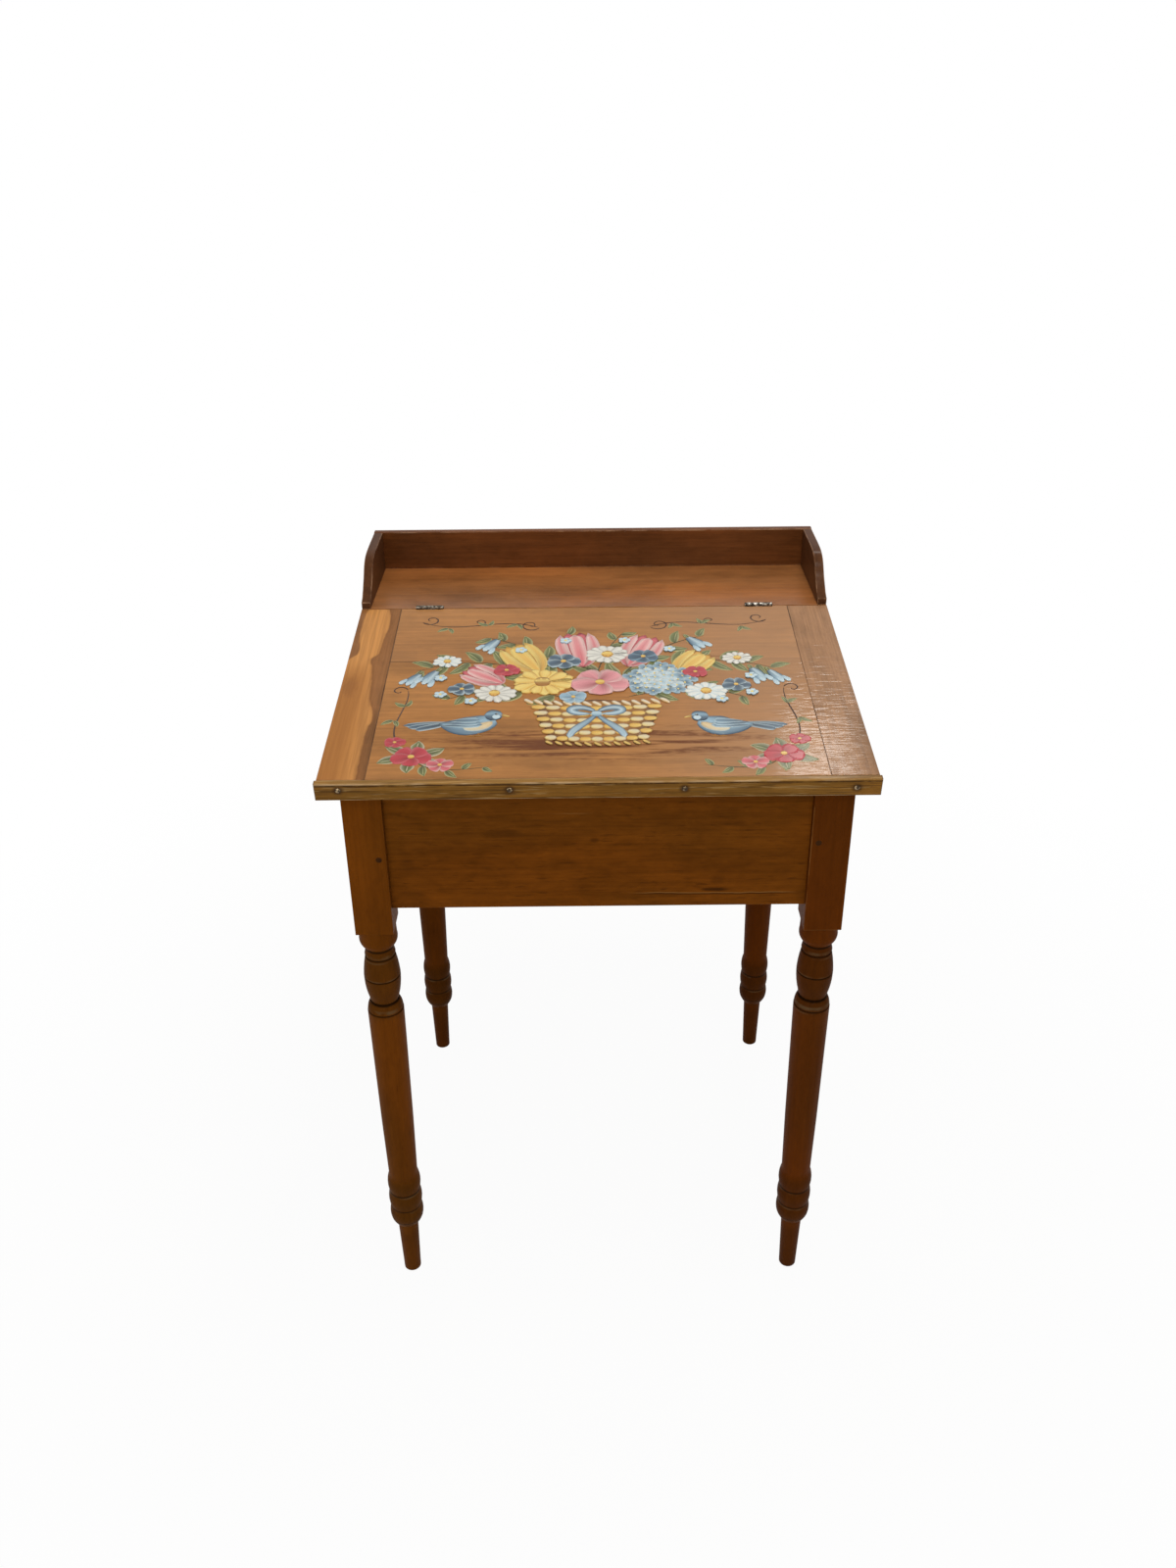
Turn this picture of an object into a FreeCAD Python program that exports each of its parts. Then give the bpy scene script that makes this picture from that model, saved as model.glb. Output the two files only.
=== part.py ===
import FreeCAD, Part
import math
import os
import Sketcher

# A slant-lid sewing desk on four turned legs: a mortised case with a storage well, a fixed
# shelf with a low gallery at the back, and a boarded lid on two butt hinges.
# Millimetres; +Z up, front towards -Y; origin on the floor under the middle of the desk.

doc = FreeCAD.newDocument("SewingDesk")

# Driving sizes

SIZES = {
    # Whole desk
    "desk_width": 610,
    "shelf_height": 847,
    "lid_depth": 381.4,
    "lid_slope_angle": 7.1,
    "hinge_gap": 2.2,
    "tray_depth": 150.5,
    "gallery_height": 52.5,
    "gallery_board": 12,
    "lid_side_overhang": 21,
    "lid_front_overhang": 30,
    "back_overhang": 5.1,
    # Case
    "post_side": 44.5,
    "post_foot_height": 581,
    "apron_rise": 32,
    "apron_board": 19,
    "apron_recess": 8,
    "tenon_thick": 8,
    "tenon_length": 21,
    "tenon_low_shoulder": 14,
    "tenon_top_shoulder": 28,
    "mortise_room": 0.5,
    "peg_dia": 7,
    "peg_length": 29,
    "peg_inset": 8.5,
    "cleat_side": 15,
    "cleat_rise": 3,
    "bottom_board": 9.5,
    "bottom_room": 0.8,
    "block_side": 18,
    "block_length": 60,
    "block_end_room": 30,
    "block_back_place": 130,
    # Shelf and gallery
    "shelf_board": 19,
    "lid_rest_gap": 0.3,
    "gallery_nail_dia": 2.4,
    "gallery_nail_head_dia": 3.8,
    "gallery_nail_head": 1.2,
    "gallery_nail_length": 34,
    "gallery_nail_edge": 13,
    "gallery_screw_dia": 3.6,
    "gallery_screw_head_dia": 7,
    "gallery_screw_head": 2.4,
    "gallery_screw_length": 36,
    "gallery_screw_edge": 42,
    "gallery_screw_spread": 200,
    # Turned legs
    "foot_dia": 22.5,
    "foot_edge": 1.2,
    "ankle_dia": 26.4,
    "ankle_height": 88,
    "ring_group": 93,
    "ring_dia": 43.4,
    "shaft_low_dia": 36.8,
    "shaft_mid_dia": 41.3,
    "shaft_top_dia": 43.6,
    "shoulder_dia": 42.6,
    "shoulder_height": 4.5,
    "neck_dia": 32.4,
    "neck_height": 3,
    "barrel_dia": 43.8,
    "barrel_height": 77,
    "collar_dia": 44.2,
    "collar_height": 34.5,
    "groove_width": 2.8,
    "groove_cut": 1.3,
    # Lid
    "lid_board": 19,
    "lid_side_inset": 2,
    "stile_width": 52,
    "front_board_width": 243.5,
    "tongue_thick": 6.5,
    "tongue_length": 8.5,
    "tongue_room": 0.5,
    "strip_thick": 9,
    "strip_height": 21.4,
    "strip_edge": 1.8,
    "strip_nail_inner": 93,
    "strip_nail_inset": 27,
    "strip_nail_dia": 2.4,
    "strip_nail_length": 34,
    "strip_nail_head_dia": 5.6,
    "strip_nail_head": 1.5,
    # Hinges
    "hinge_inset": 89,
    "hinge_length": 35,
    "hinge_mid_knuckle": 14,
    "knuckle_gap": 0.3,
    "barrel_of_hinge_dia": 5,
    "hinge_axis_rise": 1.8,
    "leaf_thick": 1.2,
    "leaf_width": 12.4,
    "leaf_clear": 0.4,
    "pin_dia": 2.4,
    "pin_room": 0.05,
    "pin_cap": 0.6,
    "pin_cap_dia": 3.8,
    "hinge_screw_dia": 2.3,
    "hinge_screw_head_dia": 4.6,
    "hinge_screw_length": 12,
    "hinge_screw_spread": 20,
    "hinge_screw_drop": 5.4,
    # Cuts run past the wood by this much
    "overrun": 2,
}

sheet = doc.addObject("Spreadsheet::Sheet", "Sizes")
for row, (name, value) in enumerate(SIZES.items(), start=1):
    sheet.set(f"A{row}", name)
    sheet.set(f"B{row}", str(value))
    sheet.setAlias(f"B{row}", name)
doc.recompute()


# A size that keeps its number and the expression that binds it to the sheet

class Dim:
    def __init__(self, text, value):
        self.text = text
        self.value = value

    def __add__(self, other):
        return Dim(f"({self.text} + {other.text})", self.value + other.value)

    def __sub__(self, other):
        return Dim(f"({self.text} - {other.text})", self.value - other.value)

    def __mul__(self, factor):
        other = factor if isinstance(factor, Dim) else Dim(f"{factor}", factor)
        return Dim(f"({self.text} * {other.text})", self.value * other.value)

    def __truediv__(self, factor):
        other = factor if isinstance(factor, Dim) else Dim(f"{factor}", factor)
        return Dim(f"({self.text} / {other.text})", self.value / other.value)

    def __neg__(self):
        return self * -1


def sine(angle):
    return Dim(f"sin({angle.text})", math.sin(math.radians(angle.value)))


def cosine(angle):
    return Dim(f"cos({angle.text})", math.cos(math.radians(angle.value)))


def tangent(angle):
    return Dim(f"tan({angle.text})", math.tan(math.radians(angle.value)))


S = {name: Dim(f"Sizes.{name}", float(sheet.get(name))) for name in SIZES}
ZERO = Dim("0", 0.0)

# Places shared by several pieces

front_y = -(S["lid_depth"] + S["hinge_gap"] + S["tray_depth"] + S["gallery_board"]) / 2
lid_back_y = front_y + S["lid_depth"]
hinge_y = lid_back_y + S["hinge_gap"] / 2
shelf_front_y = lid_back_y + S["hinge_gap"]
gallery_y = shelf_front_y + S["tray_depth"]
back_y = gallery_y + S["gallery_board"]
shelf_top = S["shelf_height"]
shelf_under = shelf_top - S["shelf_board"]
gallery_top = shelf_top + S["gallery_height"]
lid_half = S["desk_width"] / 2 - S["lid_side_inset"]
slope_sin = sine(S["lid_slope_angle"])
slope_cos = cosine(S["lid_slope_angle"])
slope_tan = tangent(S["lid_slope_angle"])
lid_slant = S["lid_depth"] / slope_cos
case_front_y = front_y + S["lid_front_overhang"]
case_back_y = back_y - S["back_overhang"]
case_half = S["desk_width"] / 2 - S["lid_side_overhang"]
post_inner_x = case_half - S["post_side"]
post_inner_front_y = case_front_y + S["post_side"]
post_inner_back_y = case_back_y - S["post_side"]
leg_axis_x = case_half - S["post_side"] / 2
leg_front_axis_y = case_front_y + S["post_side"] / 2
leg_back_axis_y = case_back_y - S["post_side"] / 2
apron_bottom = S["post_foot_height"] + S["apron_rise"]
apron_face = S["apron_recess"] + S["apron_board"]
tenon_face = S["apron_recess"] + (S["apron_board"] - S["tenon_thick"]) / 2
tenon_bottom = apron_bottom + S["tenon_low_shoulder"]
well_half_x = case_half - apron_face
well_front_y = case_front_y + apron_face
well_back_y = case_back_y - apron_face
hinge_z = shelf_top + S["hinge_axis_rise"]


def case_top(place_y):
    """Height of the case's sloping top edge under the closed lid."""
    return shelf_top - (lid_back_y - place_y) * slope_tan - S["lid_board"] / slope_cos - S["lid_rest_gap"]


# Pegs lie at these shares of the tenon's height: bored by eye, so left and right differ, and placed
# so that those of a post's two tenons pass each other
LEFT_PEG_SHARE = 0.443
RIGHT_PEG_SHARE = 0.574
SIDE_PEG_SHARE = 0.72
tenon_top = case_top(case_front_y + S["apron_recess"]) - S["tenon_top_shoulder"]
tenon_rise = tenon_top - tenon_bottom
peg_heights = {-1: tenon_bottom + tenon_rise * LEFT_PEG_SHARE, 1: tenon_bottom + tenon_rise * RIGHT_PEG_SHARE}
side_peg_height = tenon_bottom + tenon_rise * SIDE_PEG_SHARE


def lid_point(along, depth):
    """World (y, z) of a point a distance along the lid from its back edge and below its top face."""
    return (lid_back_y - along * slope_cos + depth * slope_sin,
            shelf_top - along * slope_sin - depth * slope_cos)


# Modelling helpers

BUILT = []


def new_body(name):
    body = doc.addObject("PartDesign::Body", name)
    body.Label = name
    BUILT.append(body)
    return body


def origin_plane(body, role):
    return next(item for item in body.Origin.OriginFeatures if item.Role == role)


def sketch_on(body, role, offset):
    sketch = body.newObject("Sketcher::SketchObject", f"{body.Name}_sketch")
    sketch.AttachmentSupport = [(origin_plane(body, role), "")]
    sketch.MapMode = "FlatFace"
    sketch.setExpression("AttachmentOffset.Base.z", offset.text)
    return sketch


def bind(sketch, geometry, position, corner):
    """Hold one point of a sketch by two distances from the sketch's origin."""
    for kind, size in zip(("DistanceX", "DistanceY"), corner):
        index = sketch.addConstraint(Sketcher.Constraint(kind, -1, 1, geometry, position, size.value))
        sketch.setExpression(f"Constraints[{index}]", size.text)


def vector(corner):
    return FreeCAD.Vector(corner[0].value, corner[1].value, 0)


def arc_through(start, middle, end):
    """Arc geometry through three points, and whether it runs from start to end anticlockwise."""
    turn = (middle - start).cross(end - middle).z
    circle = Part.Circle(start, middle, end)
    angles = [math.atan2(point.y - circle.Center.y, point.x - circle.Center.x) for point in (start, end)]
    round_centre = Part.Circle(circle.Center, FreeCAD.Vector(0, 0, 1), circle.Radius)
    if turn > 0:
        return Part.ArcOfCircle(round_centre, angles[0], angles[1]), True
    return Part.ArcOfCircle(round_centre, angles[1], angles[0]), False


def outline(sketch, corners):
    """Close a run of lines, and of arcs where a corner names the point its arc passes through."""
    ends = []
    for index, corner in enumerate(corners):
        start, end = vector(corner), vector(corners[(index + 1) % len(corners)])
        if len(corner) == 3:
            arc, forwards = arc_through(start, vector(corner[2]), end)
            ends.append((sketch.addGeometry(arc, False), *((1, 2) if forwards else (2, 1))))
        else:
            ends.append((sketch.addGeometry(Part.LineSegment(start, end), False), 1, 2))
    joints = []
    for index, (geometry, _, last) in enumerate(ends):
        following, first, _ = ends[(index + 1) % len(ends)]
        joints.append(Sketcher.Constraint("Coincident", geometry, last, following, first))
    sketch.addConstraint(joints)
    for (geometry, first, _), corner in zip(ends, corners):
        bind(sketch, geometry, first, corner)
        if len(corner) == 3:
            middle = sketch.addGeometry(Part.Point(vector(corner[2])), True)
            sketch.addConstraint(Sketcher.Constraint("PointOnObject", middle, 1, geometry))
            bind(sketch, middle, 1, corner[2])


def rectangle(low, high):
    return [low, (high[0], low[1]), high, (low[0], high[1])]


def circles(sketch, centres, diameter):
    for centre in centres:
        circle = Part.Circle(vector(centre), FreeCAD.Vector(0, 0, 1), diameter.value / 2)
        geometry = sketch.addGeometry(circle, False)
        bind(sketch, geometry, 3, centre)
        index = sketch.addConstraint(Sketcher.Constraint("Diameter", geometry, diameter.value))
        sketch.setExpression(f"Constraints[{index}]", diameter.text)


def place_sketch(body, role, start, end):
    """A sketch whose normal runs from one end of the stretch to the other, and the stretch's length."""
    low = -end if role == "XZ_Plane" else start
    return sketch_on(body, role, low), end - start


def pad(body, role, corners, start, end):
    sketch, length = place_sketch(body, role, start, end)
    outline(sketch, corners)
    feature = body.newObject("PartDesign::Pad", f"{body.Name}_pad")
    feature.Profile = sketch
    feature.setExpression("Length", length.text)
    doc.recompute()
    return feature


def cut_sketch(body, sketch, length):
    before = body.Shape.Volume
    feature = body.newObject("PartDesign::Pocket", f"{body.Name}_pocket")
    feature.Profile = sketch
    feature.Reversed = True
    feature.setExpression("Length", length.text)
    doc.recompute()
    if not body.Shape.Volume < before:
        raise RuntimeError(f"{body.Label}: a pocket cuts nothing")


def pocket(body, role, corners, start, end):
    sketch, length = place_sketch(body, role, start, end)
    outline(sketch, corners)
    cut_sketch(body, sketch, length)


def drill(body, role, centres, diameter, start, end):
    sketch, length = place_sketch(body, role, start, end)
    circles(sketch, centres, diameter)
    cut_sketch(body, sketch, length)


def box(name, low, high):
    """A plain board or block between two corners."""
    block = doc.addObject("Part::Box", name)
    block.Label = name
    for side, axis, start, end in zip(("Length", "Width", "Height"), "xyz", low, high):
        block.setExpression(side, (end - start).text)
        block.setExpression(f"Placement.Base.{axis}", start.text)
    return block


def set_place(thing, x, y, z, turn_axis=None, turn=None):
    if turn_axis:
        thing.Placement.Rotation = FreeCAD.Rotation(FreeCAD.Vector(*turn_axis), turn.value)
        thing.setExpression("Placement.Rotation.Angle", turn.text)
    for axis, size in zip("xyz", (x, y, z)):
        thing.setExpression(f"Placement.Base.{axis}", size.text)


def cylinder(name, diameter, height, x, y, z, turn_axis=None, turn=None):
    rod = doc.addObject("Part::Cylinder", name)
    rod.setExpression("Radius", (diameter / 2).text)
    rod.setExpression("Height", height.text)
    set_place(rod, x, y, z, turn_axis, turn)
    return rod


def cone(name, low_diameter, high_diameter, height, x, y, z, turn_axis=None, turn=None):
    solid = doc.addObject("Part::Cone", name)
    solid.setExpression("Radius1", (low_diameter / 2).text)
    solid.setExpression("Radius2", (high_diameter / 2).text)
    solid.setExpression("Height", height.text)
    set_place(solid, x, y, z, turn_axis, turn)
    return solid


def fuse(name, shapes):
    joined = doc.addObject("Part::MultiFuse", name)
    joined.Label = name
    joined.Shapes = shapes
    return joined


def cut(name, base, tools):
    result = doc.addObject("Part::Cut", name)
    result.Label = name
    result.Base = base
    result.Tool = tools[0] if len(tools) == 1 else fuse(f"{name}_tools", tools)
    return result


def group(name, shapes):
    """Like pieces that share one node, each still its own solid."""
    gathered = doc.addObject("Part::Compound", name)
    gathered.Label = name
    gathered.Links = shapes
    BUILT.append(gathered)
    return gathered


QUARTER = Dim("90", 90.0)

# Turned legs with square posts

# Heights are shares of the group of rings, radii are shares of the ring's radius
RING_NOTCH_SHARES = [(0.14, 0.945), (0.375, 0.915), (0.675, 0.91)]
RING_BULGE_SHARES = [(0.07, 0.82), (0.24, 1.0), (0.53, 1.0), (0.84, 0.98)]
# Heights are shares of the barrel's height, radii are shares of the barrel's radius
BARREL_CHIN_SHARES = (0.08, 0.845)
BARREL_GROOVE_SHARES = [(0.543, 0.995), (0.934, 0.82)]
BARREL_BULGE_SHARES = [(0.03, 0.8), (0.3, 0.965), (0.74, 0.93), (0.973, 0.79)]
# Height and radius as shares of the shoulder's height and of its drop to the neck
SHOULDER_BULGE_SHARES = (0.66, 0.28)
# Heights are shares of the collar under the post, radii are shares of the collar's radius
COLLAR_BULGE_SHARES = (0.11, 0.93)
COLLAR_ROUND_SHARE = 0.377
SHAFT_SWELL_SHARE = 0.5
# A quarter round's middle lies this share of its radius in from the square corner
ROUND_MIDDLE_SHARE = 0.293


def groove(radius, middle):
    """A narrow scored line round the turning: in to its depth and out again."""
    half = S["groove_width"] / 2
    return [(radius, middle - half), (radius - S["groove_cut"], middle), (radius, middle + half)]


def turned_profile():
    """Right half of the leg from the floor to the post."""
    ring_base = S["ankle_height"]
    shaft_base = ring_base + S["ring_group"]
    collar = S["collar_height"]
    collar_base = S["post_foot_height"] - collar
    barrel_top = collar_base - S["neck_height"]
    barrel_base = barrel_top - S["barrel_height"]
    neck_base = barrel_base - S["neck_height"]
    shoulder_base = neck_base - S["shoulder_height"]
    shaft_top = shoulder_base - S["groove_width"]
    ring, barrel, collar_round = S["ring_dia"] / 2, S["barrel_dia"] / 2, S["collar_dia"] / 2
    foot, shoulder, neck = S["foot_dia"] / 2, S["shoulder_dia"] / 2, S["neck_dia"] / 2
    edge = S["foot_edge"]

    def ring_place(share):
        return (ring * share[1], ring_base + S["ring_group"] * share[0])

    def barrel_place(share):
        return (barrel * share[1], barrel_base + S["barrel_height"] * share[0])

    corners = [(ZERO, ZERO)]
    corners.append((foot - edge, ZERO, (foot - edge * ROUND_MIDDLE_SHARE, edge * ROUND_MIDDLE_SHARE)))
    corners.append((foot, edge))
    starts = [(S["ankle_dia"] / 2, ring_base)] + [ring_place(share) for share in RING_NOTCH_SHARES]
    for start, bulge in zip(starts, RING_BULGE_SHARES):
        corners.append((*start, ring_place(bulge)))
    swell = (S["shaft_mid_dia"] / 2, shaft_base + (shaft_top - shaft_base) * SHAFT_SWELL_SHARE)
    corners.append((S["shaft_low_dia"] / 2, shaft_base, swell))
    corners.append((S["shaft_top_dia"] / 2, shaft_top))
    corners.append((S["shaft_top_dia"] / 2 - S["groove_cut"], shaft_top + S["groove_width"] / 2))
    rise, drop = SHOULDER_BULGE_SHARES
    bulge = (shoulder - (shoulder - neck) * drop, shoulder_base + S["shoulder_height"] * rise)
    corners.append((shoulder, shoulder_base, bulge))
    corners.append((neck, neck_base))
    low, belly, upper, lip = [barrel_place(share) for share in BARREL_BULGE_SHARES]
    corners.append((neck, barrel_base, low))
    corners.append((*barrel_place(BARREL_CHIN_SHARES), belly))
    for share, following in zip(BARREL_GROOVE_SHARES, (upper, lip)):
        near, deep, far = groove(*barrel_place(share))
        corners += [near, deep, (*far, following)]
    corners.append((neck, barrel_top))
    rise, width = COLLAR_BULGE_SHARES
    corners.append((neck, collar_base, (collar_round * width, collar_base + collar * rise)))
    corners.append((collar_round, collar_base + collar * COLLAR_ROUND_SHARE))
    corners.append((collar_round, S["post_foot_height"]))
    corners.append((ZERO, S["post_foot_height"]))
    return corners


def ordered(x_a, x_b, y_a, y_b):
    """Rectangle corners with the lower x and y first, whichever way round they come."""
    x_low, x_high = sorted((x_a, x_b), key=lambda size: size.value)
    y_low, y_high = sorted((y_a, y_b), key=lambda size: size.value)
    return rectangle((x_low, y_low), (x_high, y_high))


def peg_stretch(face_side):
    """How far a peg hole reaches from a post's outer face, along the axis that the face looks along."""
    half, mouth = S["post_side"] / 2, S["overrun"]
    if face_side < 0:
        return -half - mouth, S["peg_length"] - half
    return half - S["peg_length"], half + mouth


def leg(name, side, end, axis_y):
    """One leg; side is -1 at the left and 1 at the right, end is -1 at the front and 1 at the back."""
    body = new_body(name)
    sketch = sketch_on(body, "XZ_Plane", ZERO)
    outline(sketch, turned_profile())
    turning = body.newObject("PartDesign::Revolution", f"{name}_turning")
    turning.Profile = sketch
    turning.ReferenceAxis = (sketch, ["V_Axis"])
    turning.Angle = 360
    doc.recompute()
    half = S["post_side"] / 2
    post = rectangle((-half, S["post_foot_height"]), (half, shelf_under))
    if end < 0:
        post[2], post[3] = (half, case_top(axis_y + half)), (-half, case_top(axis_y - half))
    pad(body, "YZ_Plane", post, -half, half)
    # One mortise opens on the inner side, for the front or back apron, the other on the inner end
    far = half - tenon_face
    near = far - S["tenon_thick"]
    floor = half - S["tenon_length"] - S["mortise_room"]
    mouth = half + S["overrun"]
    cross_mortise = ordered(floor * -side, mouth * -side, near * end, far * end)
    side_mortise = ordered(near * side, far * side, floor * -end, mouth * -end)
    pocket(body, "XY_Plane", cross_mortise, tenon_bottom, tenon_top)
    pocket(body, "XY_Plane", side_mortise, tenon_bottom, tenon_top)
    inset = half - S["peg_inset"]
    drill(body, "XZ_Plane", [(inset * -side, peg_heights[side])], S["peg_dia"], *peg_stretch(end))
    drill(body, "YZ_Plane", [(inset * -end, side_peg_height)], S["peg_dia"], *peg_stretch(side))
    set_place(body, leg_axis_x * side, axis_y, ZERO)


leg("leg_front_left", -1, -1, leg_front_axis_y)
leg("leg_front_right", 1, -1, leg_front_axis_y)
leg("leg_back_left", -1, 1, leg_back_axis_y)
leg("leg_back_right", 1, 1, leg_back_axis_y)

# Aprons, tenoned into the posts

apron_front_low = case_front_y + S["apron_recess"]
apron_front_high = apron_front_low + S["apron_board"]
apron_back_high = case_back_y - S["apron_recess"]
apron_back_low = apron_back_high - S["apron_board"]
peg_x = post_inner_x + S["peg_inset"]
peg_front_y = post_inner_front_y - S["peg_inset"]
peg_back_y = post_inner_back_y + S["peg_inset"]


def cross_apron(name, profile, tenon_low):
    """A front or back apron with a tenon at each end, bored for its pegs."""
    body = new_body(name)
    pad(body, "YZ_Plane", profile, -post_inner_x, post_inner_x)
    tenon_reach = post_inner_x + S["tenon_length"]
    tenon_high = tenon_low + S["tenon_thick"]
    tenon = rectangle((tenon_low, tenon_bottom), (tenon_high, tenon_top))
    pad(body, "YZ_Plane", tenon, -tenon_reach, tenon_reach)
    drill(body, "XZ_Plane", [(-peg_x, peg_heights[-1]), (peg_x, peg_heights[1])], S["peg_dia"],
          tenon_low - S["overrun"], tenon_high + S["overrun"])


front_profile = [(apron_front_low, apron_bottom), (apron_front_high, apron_bottom),
                 (apron_front_high, case_top(apron_front_high)), (apron_front_low, case_top(apron_front_low))]
cross_apron("apron_front", front_profile, case_front_y + tenon_face)
cross_apron("apron_back", rectangle((apron_back_low, apron_bottom), (apron_back_high, shelf_under)),
            case_back_y - tenon_face - S["tenon_thick"])


def side_apron(name, side):
    """A side apron: its top edge slopes with the lid, then runs level under the shelf."""
    body = new_body(name)
    profile = [(post_inner_front_y, apron_bottom), (post_inner_back_y, apron_bottom),
               (post_inner_back_y, shelf_under), (hinge_y, shelf_under),
               (hinge_y, case_top(hinge_y)), (post_inner_front_y, case_top(post_inner_front_y))]
    outer = case_half - S["apron_recess"]
    inner = outer - S["apron_board"]
    tenon_inner = case_half - tenon_face - S["tenon_thick"]
    tenon_outer = case_half - tenon_face
    tenon = rectangle((post_inner_front_y - S["tenon_length"], tenon_bottom),
                      (post_inner_back_y + S["tenon_length"], tenon_top))
    pegs = [(peg_front_y, side_peg_height), (peg_back_y, side_peg_height)]
    if side < 0:
        pad(body, "YZ_Plane", profile, -outer, -inner)
        pad(body, "YZ_Plane", tenon, -tenon_outer, -tenon_inner)
        drill(body, "YZ_Plane", pegs, S["peg_dia"], -tenon_outer - S["overrun"], S["overrun"] - tenon_inner)
    else:
        pad(body, "YZ_Plane", profile, inner, outer)
        pad(body, "YZ_Plane", tenon, tenon_inner, tenon_outer)
        drill(body, "YZ_Plane", pegs, S["peg_dia"], tenon_inner - S["overrun"], tenon_outer + S["overrun"])


side_apron("apron_left", -1)
side_apron("apron_right", 1)

# Pegs that pin the tenons, flush with the posts' outer faces

pegs = []
for side in (-1, 1):
    pegs.append(cylinder(f"peg_front_{side}", S["peg_dia"], S["peg_length"],
                         peg_x * side, case_front_y + S["peg_length"], peg_heights[side], (1, 0, 0), QUARTER))
    pegs.append(cylinder(f"peg_back_{side}", S["peg_dia"], S["peg_length"],
                         peg_x * side, case_back_y, peg_heights[side], (1, 0, 0), QUARTER))
    for place, peg_y in (("front", peg_front_y), ("back", peg_back_y)):
        start_x = case_half - S["peg_length"] if side > 0 else -case_half
        pegs.append(cylinder(f"peg_side_{place}_{side}", S["peg_dia"], S["peg_length"],
                             start_x, peg_y, side_peg_height, (0, 1, 0), QUARTER))
group("tenon_pegs", pegs)

# Floor of the well: two boards on four cleats glued inside the aprons

cleat_low = apron_bottom + S["cleat_rise"]
cleat_high = cleat_low + S["cleat_side"]
floor_high = cleat_high + S["bottom_board"]
cleat_inner_x = well_half_x - S["cleat_side"]
BUILT.append(box("cleat_front", (-post_inner_x, well_front_y, cleat_low),
                 (post_inner_x, well_front_y + S["cleat_side"], cleat_high)))
BUILT.append(box("cleat_back", (-post_inner_x, well_back_y - S["cleat_side"], cleat_low),
                 (post_inner_x, well_back_y, cleat_high)))
BUILT.append(box("cleat_left", (-well_half_x, post_inner_front_y, cleat_low),
                 (-cleat_inner_x, post_inner_back_y, cleat_high)))
BUILT.append(box("cleat_right", (cleat_inner_x, post_inner_front_y, cleat_low),
                 (well_half_x, post_inner_back_y, cleat_high)))


def bottom_board(name, wall_y, notch_y, seam_y):
    """Half of the well's floor, notched round the two posts at its wall."""
    reach = well_half_x - S["bottom_room"]
    notch = post_inner_x - S["bottom_room"]
    body = new_body(name)
    corners = [(-reach, seam_y), (-reach, notch_y), (-notch, notch_y), (-notch, wall_y),
               (notch, wall_y), (notch, notch_y), (reach, notch_y), (reach, seam_y)]
    pad(body, "XY_Plane", corners, cleat_high, floor_high)


seam_y = (well_front_y + well_back_y) / 2
room = S["bottom_room"]
bottom_board("bottom_board_front", well_front_y + room, post_inner_front_y + room, seam_y)
bottom_board("bottom_board_back", well_back_y - room, post_inner_back_y - room, seam_y)

# Glue blocks that hold the shelf to the side and back aprons

block_low = shelf_under - S["block_side"]
block_front_y = shelf_front_y + S["block_end_room"]
block_back_y = block_front_y + S["block_length"]
block_inner_x = well_half_x - S["block_side"]
blocks = [
    box("block_left", (-well_half_x, block_front_y, block_low), (-block_inner_x, block_back_y, shelf_under)),
    box("block_right", (block_inner_x, block_front_y, block_low), (well_half_x, block_back_y, shelf_under)),
]
for side in (-1, 1):
    centre = S["block_back_place"] * side
    half_length = S["block_length"] / 2
    blocks.append(box(f"block_back_{side}", (centre - half_length, well_back_y - S["block_side"], block_low),
                      (centre + half_length, well_back_y, shelf_under)))
group("shelf_glue_blocks", blocks)

# Butt hinges: sizes that the boards' recesses follow

barrel_radius = S["barrel_of_hinge_dia"] / 2
leaf_face = barrel_radius - S["leaf_thick"]
leaf_bottom = hinge_z - S["leaf_width"]
screw_height = hinge_z - S["hinge_screw_drop"]
hinge_place = lid_half - S["hinge_inset"]
hinge_half = S["hinge_length"] / 2
screw_half = S["hinge_screw_spread"] / 2
shank_reach = leaf_face + S["hinge_screw_length"]
HINGE_SIDES = (("left", -1), ("right", 1))


def hinge_seats(body, wood_y, facing):
    """Recesses for two leaves and pilot holes for their screws in a board's edge.

    facing is 1 where the wood lies behind the hinge line and -1 where it lies in front."""
    seat = ordered(hinge_y + barrel_radius * facing, wood_y - S["overrun"] * facing,
                   leaf_bottom, shelf_top + S["overrun"])
    for _, side in HINGE_SIDES:
        centre = hinge_place * side
        pocket(body, "YZ_Plane", seat, centre - hinge_half, centre + hinge_half)
        holes = [(centre - screw_half, screw_height), (centre + screw_half, screw_height)]
        if facing > 0:
            drill(body, "XZ_Plane", holes, S["hinge_screw_dia"], wood_y, hinge_y + shank_reach)
        else:
            drill(body, "XZ_Plane", holes, S["hinge_screw_dia"], hinge_y - shank_reach, wood_y)


# Shelf, with screws from below into the gallery

gallery_screw_x = lid_half - S["gallery_board"] / 2
gallery_screw_y = gallery_y + S["gallery_board"] / 2
end_screw_ys = (shelf_front_y + S["gallery_screw_edge"], gallery_y - S["gallery_screw_edge"])
screw_places = [(gallery_screw_x * side, y) for side in (-1, 1) for y in end_screw_ys]
back_screw_places = [(ZERO, gallery_screw_y)]
back_screw_places += [(S["gallery_screw_spread"] * side, gallery_screw_y) for side in (-1, 1)]
gallery_screw_top = shelf_under + S["gallery_screw_length"]

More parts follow.
